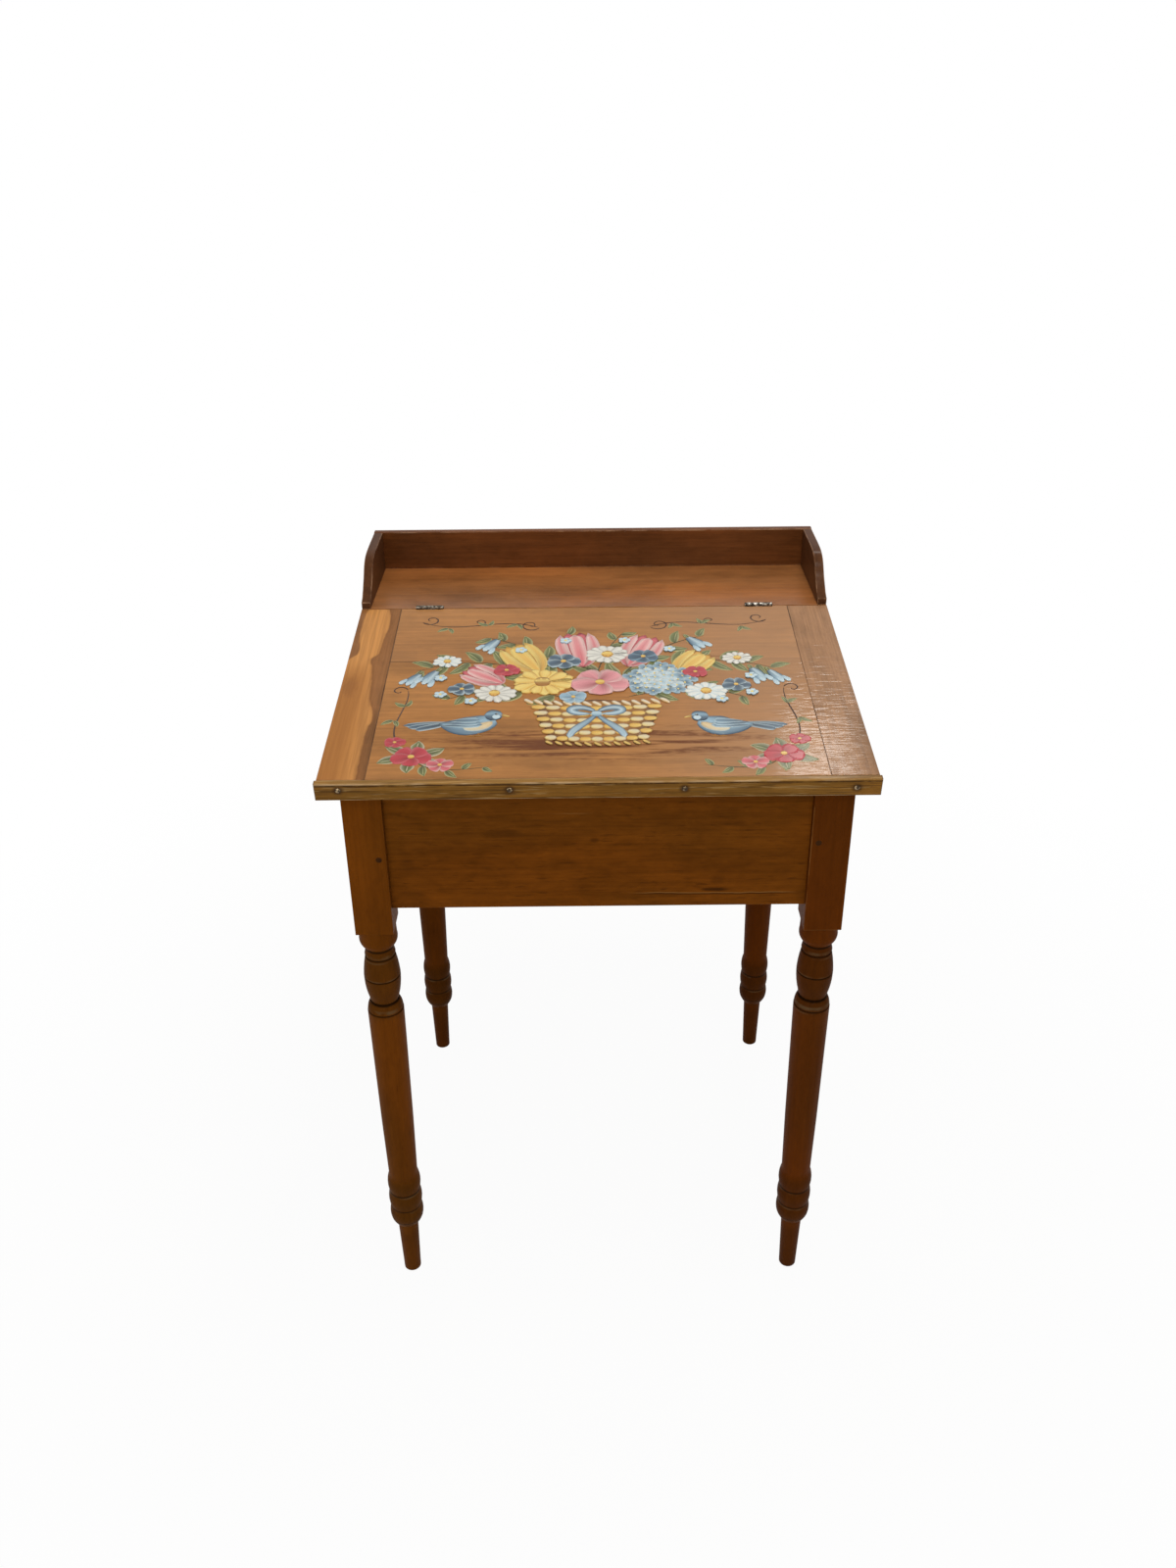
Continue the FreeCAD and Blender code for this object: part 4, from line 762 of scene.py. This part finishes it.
def leaf(shape, root, tip, sag, width, layer, edge=LEAF_CREAM):
    """A leaf in one stroke, bowed to one side, with its midrib drawn in."""
    root, tip = Vector(root), Vector(tip)
    along = tip - root
    middle = (root + tip) / 2 + Vector((-along.y, along.x)) * sag
    stroke(shape, bend(root, middle, tip), width, LEAF, DEEP_GREEN, MOSS, layer, edge, light=MOSS, side=-0.4)
    rib = bend(root, (root + middle) / 2 + (tip - middle) * 0.12, tip.lerp(middle, 0.25))
    stroke(shape, rib, width * 0.06 + 0.0002, LINE, DEEP_GREEN, edge, layer + 1, cells=(8, 1))


def daisy(shape, centre, size, petals, layer, tail=PEARL, head=WHITE, eye=GOLD, turn=0.0):
    """Rays of single strokes pulled in to a domed eye; the far ones first."""
    centre = Vector(centre)
    for index in range(petals):
        angle = turn + 2 * math.pi * index / petals
        far = ray(angle, 0.72)
        reach = size * random.uniform(0.9, 1.08)
        line = bend(centre + far * size * 0.15, centre + far * reach)
        stroke(shape, line, size * 0.2, TEARDROP, tail, head, layer + 2 * (index % 2), edge=tail, light=head,
               side=0.2, cells=(7, 4))
    dab(shape, centre, size * 0.27, eye, layer + 5, edge=OCHRE, light=SUN)
    for index in range(7):
        spot = centre + ray(2 * math.pi * index / 7, 0.8) * size * 0.22
        dab(shape, spot, size * 0.035, SUN if index > 3 else OCHRE, layer + 6)


def tulip(shape, foot, tip, width, layer, colours):
    """A cup of five petals: two behind, two folded round the sides and one in front."""
    foot, tip = Vector(foot), Vector(tip)
    dark, body, pale = colours
    up = tip - foot
    over = Vector((-up.y, up.x)).normalized() * width
    for side in (-1, 1):
        line = bend(foot, foot + up * 0.5 + over * side * 0.5, foot + up * 0.98 + over * side * 0.35)
        stroke(shape, line, width * 0.42, PETAL, dark, body, layer, edge=dark)
    for side in (-1, 1):
        line = bend(foot, foot + over * side * 1.25 + up * 0.25, foot + over * side * 0.85 + up * 0.95)
        stroke(shape, line, width * 0.38, PETAL, dark, pale, layer + 2, edge=pale, light=body,
               side=0.2 * side)
    stroke(shape, bend(foot, foot + up * 0.55, foot + up * 0.92), width * 0.5, PETAL, body, pale, layer + 4,
           edge=pale, light=body)


def bellflower(shape, stem, mouth, width, layer):
    """A hanging bell with a scalloped lip."""
    stem, mouth = Vector(stem), Vector(mouth)
    down = mouth - stem
    over = Vector((-down.y, down.x)).normalized() * width
    stroke(shape, bend(stem, stem + down * 0.5, mouth), width * 0.85, (0.55, 0.22), SLATE, SKY, layer,
           edge=SLATE, light=MIST, side=-0.3)
    for index, place in enumerate((-0.8, 0.0, 0.8)):
        spot = mouth + over * place - down * 0.08 * (1 - abs(place))
        lip = bend(spot - down * 0.32, spot + down * 0.16 + over * place * 0.25)
        stroke(shape, lip, width * 0.34, PETAL, SKY, MIST, layer + 2 + index, edge=MIST)
    leaf(shape, stem + down * 0.12, stem - down * 0.2, 0.1, width * 0.3, layer + 6)


def blossom(shape, centre, size, layer, tail, head, edge, turn=0.3):
    """Five broad petals round a small yellow eye."""
    centre = Vector(centre)
    for index in range(5):
        far = ray(turn + 2 * math.pi * index / 5, 0.75)
        stroke(shape, bend(centre, centre + far * size), size * 0.42, PETAL, tail, head, layer + index % 3,
               edge=edge, light=head, side=0.3, cells=(8, 6))
    dab(shape, centre, size * 0.16, GOLD, layer + 4, edge=OCHRE, light=SUN)


def hydrangea(shape, centre, size, florets, layer):
    """A round head of small four-petalled florets, darker low down and paler on top."""
    centre = Vector(centre)
    for index in range(florets):
        spot = centre + ray(index * GOLDEN_ANGLE, 0.85) * size * math.sqrt(1 - index / florets)
        tail, head, edge = (SLATE, SKY, MIST) if index < florets * 0.45 else (SKY, MIST, WHITE)
        turn = random.random() * 1.5
        for petal in range(4):
            far = ray(turn + math.pi / 2 * petal, 0.85) * size * 0.3
            stroke(shape, bend(spot, spot + far), size * 0.13, PETAL, tail, head,
                   layer + index * 2 % 14 + index // 12, edge=edge, cells=(5, 4))
        dab(shape, spot, size * 0.035, SUN, layer + 18)


def enlarge(shape, factor, heart):
    """Grow all that is painted so far about one place on the lid."""
    centre = lid_spot(*heart, 0)
    for vert in shape.verts:
        vert.co = centre + (vert.co - centre) * factor


def tendril(shape, line, width, layer, colour=INK, cells=30):
    stroke(shape, line, width, LINE, colour, colour, layer, cells=(cells, 1))


def spray(shape, line, layer, leaves, size, widest):
    """A stem that carries leaves by turns on either side."""
    tendril(shape, line, 0.0006, layer, DEEP_GREEN)
    for index in range(leaves):
        share = (index + 0.6) / leaves
        root = line(share)
        ahead = (line(min(1, share + 0.02)) - line(share - 0.02)).normalized()
        away = Vector((-ahead.y, ahead.x)) * (1 if index % 2 else -1)
        reach = size * (1.1 - 0.45 * share) * random.uniform(0.85, 1.1)
        leaf(shape, root, root + ahead * reach * 0.7 + away * reach * 0.72, 0.18 * (1 if index % 2 else -1),
             widest * (1.1 - 0.4 * share), layer + 2 + index % 3)


def bird(shape, breast, facing, size, layer):
    """A small garden bird with a pale breast, folded wing and long tail."""
    breast = Vector(breast)

    def at(ahead, down):
        return breast + Vector((ahead * facing, down)) * size

    for index, (drop, reach) in enumerate(((0.1, 1.25), (0.17, 1.16), (0.24, 1.02))):
        feather = bend(at(-0.35, 0.02), at(-0.8, drop * 0.7), at(-reach, drop))
        stroke(shape, feather, size * 0.075, PETAL, NIGHT, SLATE, layer + index, edge=MIST)
    for place in (-0.06, 0.08):
        tendril(shape, bend(at(place, 0.25), at(place + 0.03, 0.36), at(place + 0.02, 0.44)), size * 0.016,
                layer + 1, OCHRE, 6)
        tendril(shape, bend(at(place - 0.05, 0.45), at(place + 0.03, 0.43), at(place + 0.1, 0.46)),
                size * 0.014, layer + 1, OCHRE, 6)
    back = bend(at(-0.62, 0.05), at(-0.05, 0.3), at(0.36, -0.12))
    stroke(shape, back, size * 0.29, (0.75, 0.5), SLATE, SKY, layer + 4, edge=SLATE, light=SKY,
           side=-0.1 * facing, cells=(14, 8))
    stroke(shape, bend(at(-0.2, 0.19), at(0.12, 0.26), at(0.33, 0.0)), size * 0.12, (0.5, 0.5), CREAM, GOLD,
           layer + 6, edge=SKY, light=CREAM)
    dab(shape, at(0.34, -0.2), size * 0.17, SLATE, layer + 7, edge=NIGHT, light=SKY)
    dab(shape, at(0.39, -0.15), size * 0.075, MIST, layer + 9, edge=SKY)
    for index, (start, drop) in enumerate(((0.16, 0.1), (0.12, 0.03), (0.1, -0.05))):
        stroke(shape, bend(at(start, drop), at(-0.25, drop + 0.03), at(-0.62 + 0.09 * index, drop + 0.02)),
               size * 0.085, COMMA, SKY, NIGHT, layer + 10 + index, edge=MIST, light=SLATE)
    stroke(shape, bend(at(0.47, -0.21), at(0.63, -0.16)), size * 0.035, (0.1, 1.0), OCHRE, SUN, layer + 9,
           cells=(5, 3))
    dab(shape, at(0.39, -0.235), size * 0.03, NIGHT, layer + 11)
    dab(shape, at(0.4, -0.245), size * 0.01, WHITE, layer + 12)


def painted(name, shape):
    """Close each film of paint down into the board and hang it on the lid."""
    upwards = lid_spot(0, 0, 1) - lid_spot(0, 0, 0)
    shape.normal_update()
    for face in shape.faces:
        if face.normal.dot(upwards) < 0:
            face.normal_flip()
        face.smooth = True
    film = new_object(name, shape)
    body = film.modifiers.new("film", "SOLIDIFY")
    body.thickness = PAINT_DEPTH
    body.offset = -1
    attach(film, "lid")
    film.data.materials.append(oil_paint)
    return film


BRISTLE_SCALE, WEAVE_SCALE = (1.6, 7.0, 1.0), 900.0


def paint_material():
    """Oil paint whose colour follows each stroke, streaked by the bristles and varnished over."""
    skin = Nodes(bpy.data.materials.new("oil_paint"))
    colour = skin.add("ShaderNodeAttribute", {"attribute_name": "paint"}).outputs["Color"]
    bristles = skin.add("ShaderNodeUVMap", {"uv_map": "bristles"}).outputs[0]
    streaks = skin.noise(bristles, BRISTLE_SCALE, detail=3.0, roughness=0.65)
    place = skin.add("ShaderNodeTexCoord").outputs["Object"]
    weave = skin.add("ShaderNodeTexNoise", Vector=place, Scale=WEAVE_SCALE, Detail=2.0).outputs["Fac"]
    tone = skin.scale_add(streaks, 0.55, 0.72)
    tone = skin.scale_add(skin.minus(weave, 0.5), 0.25, tone)
    bump = skin.add("ShaderNodeBump", Strength=0.3, Distance=0.00015, Height=streaks)
    rough = skin.scale_add(weave, 0.15, 0.3)
    surface = skin.add("ShaderNodeBsdfPrincipled", Base_Color=skin.toned(colour, tone), Roughness=rough,
                       Normal=bump.outputs[0], Specular_IOR_Level=0.2, Coat_Weight=0.1, Coat_Roughness=0.14)
    return skin.finish(surface.outputs[0])


oil_paint = paint_material()

# The vines and sprays lie lowest: one spray to each side of the basket, and thin tendrils that
# climb from the front corners and curl over the back of the board.

greenery = canvas()
for side in (-1, 1):
    for points, layer, leaves, size, widest in (
            (((0.03, 0.2), (0.1, 0.12), (0.178, 0.166)), 1, 13, 0.034, 0.0068),
            (((0.03, 0.215), (0.1, 0.19), (0.145, 0.218)), 3, 8, 0.028, 0.0064),
            (((0.02, 0.19), (0.05, 0.12), (0.112, 0.1)), 4, 9, 0.03, 0.0064),
            (((0.0, 0.18), (0.01, 0.12), (0.03, 0.092)), 5, 6, 0.026, 0.006)):
        spray(greenery, mirrored(side, *points), layer, leaves, size, widest)
enlarge(greenery, BOUQUET_GROWTH, BOUQUET_HEART)
for side in (-1, 1):
    spray(greenery, mirrored(side, (0.2, 0.338), (0.19, 0.37), (0.115, 0.353)), 1, 6, 0.022, 0.0052)
    for angle in (0.4, 1.5, 2.6, 3.7, 4.6, 5.6):
        far = Vector((math.cos(angle) * side, math.sin(angle) * 0.75))
        root = Vector((0.204 * side, 0.334)) + far * 0.012
        leaf(greenery, root, root + far * 0.029, 0.15, 0.0078, 6, CREAM)
    vines = (mirrored(side, (0.222, 0.31), (0.242, 0.27), (0.214, 0.235), (0.222, 0.197)),
             curl((0.222 * side, 0.197), -0.01 * side, 0.2 * side, 0.9 * side),
             mirrored(side, (0.07, 0.052), (0.12, 0.02), (0.17, 0.07), (0.22, 0.035)),
             curl((0.22 * side, 0.035), 0.012 * side, 0.4 * side, 1.1 * side),
             curl((0.07 * side, 0.052), -0.013 * side, -0.5 * side, -1.2 * side),
             curl((0.15 * side, 0.045), 0.009 * side, 1.2 * side, 1.0 * side))
    for index, vine in enumerate(vines):
        tendril(greenery, vine, 0.0009 if index < 5 else 0.0008, 0)
    for spot, way in (((0.098, 0.043), 1), ((0.135, 0.045), -1), ((0.185, 0.052), 1), ((0.232, 0.262), 1),
                      ((0.221, 0.232), -1)):
        root = Vector((spot[0] * side, spot[1]))
        leaf(greenery, root, root + Vector((0.014 * side, 0.009 * way)), 0.2 * way, 0.0034, 2)
        leaf(greenery, root, root + Vector((-0.005 * side, 0.013 * way)), -0.2 * way, 0.003, 3)
painted("painted_leaves", greenery)

# The basket's weave is painted in cream and ochre strokes, over and under by turns, on an ochre
# ground. A blue ribbon is tied round it in a bow.

BASKET_TOP, BASKET_FOOT, BASKET_HALF = 0.222, 0.29, 0.062
ROWS, COLUMNS, RIM_COLUMNS, FOOT_COLUMNS = 6, 9, 15, 11

basket = canvas()
stroke(basket, bend((0, BASKET_TOP - 0.002), (0, BASKET_FOOT + 0.004)), BASKET_HALF * 0.87, (0.04, 0.14),
       OCHRE, OCHRE, 30, edge=INK, cells=(12, 12))
for row in range(ROWS):
    drop = BASKET_TOP + 0.009 + row * 0.0103
    half = BASKET_HALF * (1 - 0.045 * row)
    for column in range(COLUMNS):
        across = -half + (column + 0.5) * 2 * half / COLUMNS
        low = drop + 0.004 * (1 - (across / half) ** 2)
        reach = half / COLUMNS * 1.12
        lifted = (row + column) % 2
        tail, head, light = (SUN, CREAM, CREAM) if lifted else (GOLD, SUN, GOLD)
        splint = bend((across - reach, low), (across, low + 0.001), (across + reach, low))
        stroke(basket, splint, 0.0042, OVAL, tail, head, 33 + 2 * lifted, edge=OCHRE, light=light, side=-0.4,
               cells=(6, 4))
for column in range(RIM_COLUMNS):
    across = -BASKET_HALF * 1.05 + column * BASKET_HALF * 2.1 / (RIM_COLUMNS - 1)
    low = BASKET_TOP + 0.005 * (1 - (across / BASKET_HALF / 1.05) ** 2)
    splint = bend((across - 0.004, low - 0.004), (across + 0.005, low + 0.005))
    stroke(basket, splint, 0.0028, OVAL, CREAM, GOLD, 38 + column % 2 * 2, edge=OCHRE, light=WHITE,
           side=-0.3, cells=(6, 4))
for column in range(FOOT_COLUMNS):
    across = -BASKET_HALF * 0.72 + column * BASKET_HALF * 1.44 / (FOOT_COLUMNS - 1)
    low = BASKET_FOOT + 0.004 * (1 - (across / BASKET_HALF / 0.8) ** 2)
    splint = bend((across - 0.003, low - 0.002), (across + 0.004, low + 0.004))
    stroke(basket, splint, 0.0024, OVAL, GOLD, OCHRE, 38 + column % 2 * 2, edge=INK, light=SUN, cells=(6, 4))
for side in (-1, 1):
    loop = mirrored(side, (0, 0.243), (0.012, 0.228), (0.032, 0.232), (0.03, 0.247), (0.004, 0.245))
    stroke(basket, loop, 0.005, OVAL, SLATE, SKY, 44, edge=SLATE, light=MIST, cells=(14, 4))
    end = mirrored(side, (0, 0.245), (0.008, 0.262), (0.024, 0.268), (0.026, 0.285))
    stroke(basket, end, 0.004, (0.4, 0.2), SLATE, MIST, 43, edge=SLATE, light=SKY, cells=(12, 4))
dab(basket, (0, 0.245), 0.0052, SKY, 48, edge=SLATE, light=MIST)
enlarge(basket, BOUQUET_GROWTH, BOUQUET_HEART)
painted("painted_basket", basket)

# Flowers crowd over the basket's rim, the largest in the middle, and thin out along the sprays.
# Each petal is one stroke: tulips and daisies first, then blossoms over them. Three more
# blossoms lie in each front corner.

flowers = canvas()
for foot, tip, width, hues in (((-0.012, 0.16), (-0.022, 0.092), 0.017, ROSE_HUES),
                               ((0.032, 0.16), (0.058, 0.1), 0.016, ROSE_HUES),
                               ((-0.055, 0.17), (-0.086, 0.116), 0.016, GOLD_HUES),
                               ((0.08, 0.175), (0.112, 0.135), 0.014, GOLD_HUES),
                               ((-0.09, 0.19), (-0.13, 0.162), 0.013, ROSE_HUES)):
    tulip(flowers, foot, tip, width, 40, hues)
hydrangea(flowers, (0.062, 0.184), 0.03, 34, 50)
daisy(flowers, (-0.052, 0.188), 0.031, 17, 50, GOLD, SUN, OCHRE)
for spot, size, count, tail, turn in (((0.012, 0.137), 0.023, 13, PEARL, 0.1),
                                      ((-0.098, 0.208), 0.021, 12, PEARL, 0.3),
                                      ((0.106, 0.207), 0.021, 12, MIST, 0.0),
                                      ((-0.148, 0.148), 0.015, 10, MIST, 0.2),
                                      ((0.142, 0.146), 0.016, 11, PEARL, 0.0)):
    daisy(flowers, spot, size, count, 60, tail, WHITE, turn=turn)
blossom(flowers, (0.004, 0.19), 0.03, 80, CRIMSON, PINK, BLUSH)
for spot, size, hues, turn in (((-0.032, 0.15), 0.018, SLATE_HUES, 0.1),
                               ((0.048, 0.142), 0.016, (NIGHT, SLATE, SKY), 0.4),
                               ((-0.13, 0.2), 0.014, SLATE_HUES, 0.6),
                               ((0.136, 0.196), 0.015, SLATE_HUES, 0.2),
                               ((-0.022, 0.216), 0.014, (SLATE, SKY, MIST), 0.8),
                               ((0.098, 0.172), 0.013, RED_HUES, 0.5),
                               ((-0.088, 0.166), 0.014, RED_HUES, 0.2)):
    blossom(flowers, spot, size, 70, *hues, turn=turn)
for stem, mouth, width in (((-0.156, 0.164), (-0.168, 0.188), 0.008),
                           ((-0.172, 0.17), (-0.184, 0.19), 0.007),
                           ((0.153, 0.164), (0.164, 0.188), 0.008),
                           ((0.17, 0.168), (0.182, 0.19), 0.007),
                           ((-0.098, 0.104), (-0.112, 0.126), 0.008),
                           ((0.094, 0.103), (0.11, 0.124), 0.008)):
    bellflower(flowers, stem, mouth, width, 50)
for side in (-1, 1):
    for spot in ((0.03, 0.11), (0.12, 0.222), (0.15, 0.21), (0.075, 0.128), (0.152, 0.18)):
        centre = Vector((spot[0] * side, spot[1]))
        for index in range(5):
            petal = centre + ray(2 * math.pi * index / 5, 0.8) * 0.0038
            dab(flowers, petal, 0.0026, MIST, 90 + index % 2, edge=SKY)
        dab(flowers, centre, 0.0016, SUN, 93)
enlarge(flowers, BOUQUET_GROWTH, BOUQUET_HEART)
for side in (-1, 1):
    blossom(flowers, (0.205 * side, 0.334), 0.024, 20, *RED_HUES)
    blossom(flowers, (0.172 * side, 0.35), 0.016, 26, *ROSE_HUES, turn=0.9)
    blossom(flowers, (0.226 * side, 0.306), 0.013, 26, *RED_HUES, turn=1.2)
painted("painted_flowers", flowers)

# A bird stands on either side of the basket, painted in the ribbon's blues with a pale breast.
# Its folded wing is three long strokes, and its tail three more.

birds = canvas()
bird(birds, (-0.14, 0.266), 1, 0.064, 20)
bird(birds, (0.139, 0.271), -1, 0.062, 20)
painted("painted_birds", birds)

# A thin strip of olive-brown hardwood is nailed along the lid's front edge. Its arrises are worn
# pale, its top face is lightened as a painted highlight, a darker line runs under the upper
# arris and the grain is coarse.

STRIP_STAIN = (0.225, 0.105, 0.018)
STRIP_PALE_AND_HIGHLIGHT, STRIP_WORN, STRIP_DARK = (0.5, 0.31, 0.12), (0.7, 0.5, 0.3), (0.05, 0.02, 0.006)
STRIP_FROM, STRIP_TO, STRIP_HEIGHT, STRIP_REACH = 0.37535, 0.38435, 0.0214, 0.305
STRIP_EASE, STRIP_LINE_DROP = 0.0014, 0.0022
STRIP_FIGURE_SCALE, STRIP_LIGHTS_SCALE, STRIP_LINE_SCALE = (14, 330, 330), (18, 300, 300), (60, 9, 9)
NAIL_RING = (0.0085, 0.02, 0.0075)
NAIL_SPOTS = ((-0.279, 0.0082), (-0.095, 0.009), (0.093, 0.0097), (0.278, 0.0104))

corners = [lid_spot(0, down, height) for down, height in
           ((STRIP_TO, -STRIP_HEIGHT), (STRIP_FROM, -STRIP_HEIGHT), (STRIP_FROM, 0), (STRIP_TO, 0))]
shape = sawn([(corner.y, corner.z) for corner in corners], -STRIP_REACH, STRIP_REACH)
ease_arrises(shape, STRIP_EASE)
strip = stand_in("lid_front_strip", "lid", shape)
stain = Wood("strip_stain", "x", STRIP_STAIN, centre=(0.05, -0.27, 0.79), tilt=LID_SLOPE, fibres=0.9,
             blotches=0.5, mottle=0.5)
figure = stain.drawn_noise(STRIP_FIGURE_SCALE, detail=3, roughness=0.6, distortion=0.5)
stain.shade(stain.span(figure, 0.5, 0.62), STRIP_DARK, 0.55)
lights = stain.drawn_noise(STRIP_LIGHTS_SCALE, detail=3, roughness=0.6, distortion=0.3)
stain.shade(stain.span(lights, 0.54, 0.66), STRIP_PALE_AND_HIGHLIGHT, 0.5)
across, back, rise = stain.world_axes()
rise = stain.scale_add(back, -math.tan(LID_SLOPE), rise)
# Painted highlight: the strip's top face and upper arris are lightened.
stain.shade(stain.span(rise, LID_FACE - 0.001, LID_FACE - 0.0004), STRIP_PALE_AND_HIGHLIGHT, 0.2)
# A broken darker line runs just under the upper arris.
off = stain.size(stain.minus(rise, LID_FACE - STRIP_LINE_DROP))
broken = stain.span(stain.drawn_noise(STRIP_LINE_SCALE, detail=3, roughness=0.6), 0.35, 0.55, 0.35, 1.0)
under_arris_line = stain.rest(stain.span(off, 0.0004, 0.0013))
stain.shade(stain.times(under_arris_line, broken), STRIP_DARK, 0.9)
for nail_across, depth in NAIL_SPOTS:
    ring = stain.patch(lid_spot(nail_across, STRIP_TO, -depth), NAIL_RING, 0.15)
    stain.shade(ring, STRIP_DARK, 0.85)
stain.wear(STRIP_WORN, 0.35)
ends = stain.span(stain.size(across), STRIP_REACH - 0.0014, STRIP_REACH - 0.0002)
stain.shade(ends, STRIP_DARK, 0.8)
dress(strip, stain.varnish(roughness=0.45, specular=0.05, coat=0.08))

# Four round-headed steel nails hold the strip to the lid's front edge. They were driven in by
# eye, so they stand at slightly different heights.

NAIL_RADIUS, NAIL_RISE = 0.0031, 0.0011
outward = (lid_spot(0, 1, 0) - lid_spot(0, 0, 0)).to_track_quat("Z", "Y").to_matrix().to_4x4()

heads = bmesh.new()
for across, depth in NAIL_SPOTS:
    head = bmesh.ops.create_uvsphere(heads, u_segments=24, v_segments=12, radius=NAIL_RADIUS)["verts"]
    bmesh.ops.scale(heads, vec=(1, 1, NAIL_RISE / NAIL_RADIUS), verts=head)
    place = Matrix.Translation(lid_spot(across, STRIP_TO, -depth))
    bmesh.ops.transform(heads, matrix=place @ outward, verts=head)
for face in heads.faces:
    face.smooth = True
nail_heads = stand_in("lid_strip_nails", "lid", heads)

TARNISH_SCALE, TARNISH_BLUR, TARNISH_ROUGHNESS = 260.0, 0.16, 0.25


def metal(name, colour, roughness, tarnish, tarnish_share=0.45):
    """Worn steel: bare where it is rubbed, darker and rougher where it has tarnished."""
    skin = Nodes(bpy.data.materials.new(name))
    place = skin.add("ShaderNodeTexCoord").outputs["Object"]
    patches = skin.add("ShaderNodeTexNoise", Vector=place, Scale=TARNISH_SCALE, Detail=4.0, Roughness=0.65)
    amount = skin.span(patches.outputs["Fac"], tarnish_share, tarnish_share + TARNISH_BLUR)
    base = skin.mix(amount, (*tarnish, 1), (*colour, 1))
    rough = skin.scale_add(amount, -TARNISH_ROUGHNESS, roughness + TARNISH_ROUGHNESS)
    bump = skin.add("ShaderNodeBump", Strength=0.3, Distance=0.0001, Height=patches.outputs["Fac"])
    surface = skin.add("ShaderNodeBsdfPrincipled", Base_Color=base, Roughness=rough, Normal=bump.outputs[0],
                       Metallic=1.0)
    return skin.finish(surface.outputs[0])


nail_metal = metal("nail_steel", (0.36, 0.26, 0.15), 0.12, (0.05, 0.033, 0.02))
dress(nail_heads, nail_metal)
finish_nodes(("gallery_nails", "gallery_screws"), nail_metal)

# Two steel butt hinges join the lid to the shelf, let into both edges; only their knuckles show
# while the lid is shut.

left_metal = metal("hinge_steel_left", (0.26, 0.23, 0.19), 0.34, (0.07, 0.058, 0.045), 0.46)
right_metal = metal("hinge_steel_right", (0.36, 0.34, 0.3), 0.34, (0.05, 0.04, 0.032), 0.45)
for side, finish in (("left", left_metal), ("right", right_metal)):
    finish_nodes([f"{part}_{side}" for part in ("hinge_leaf_shelf", "hinge_leaf_lid", "hinge_pin")], finish)
finish_nodes(("hinge_screws_shelf", "hinge_screws_lid"), left_metal)
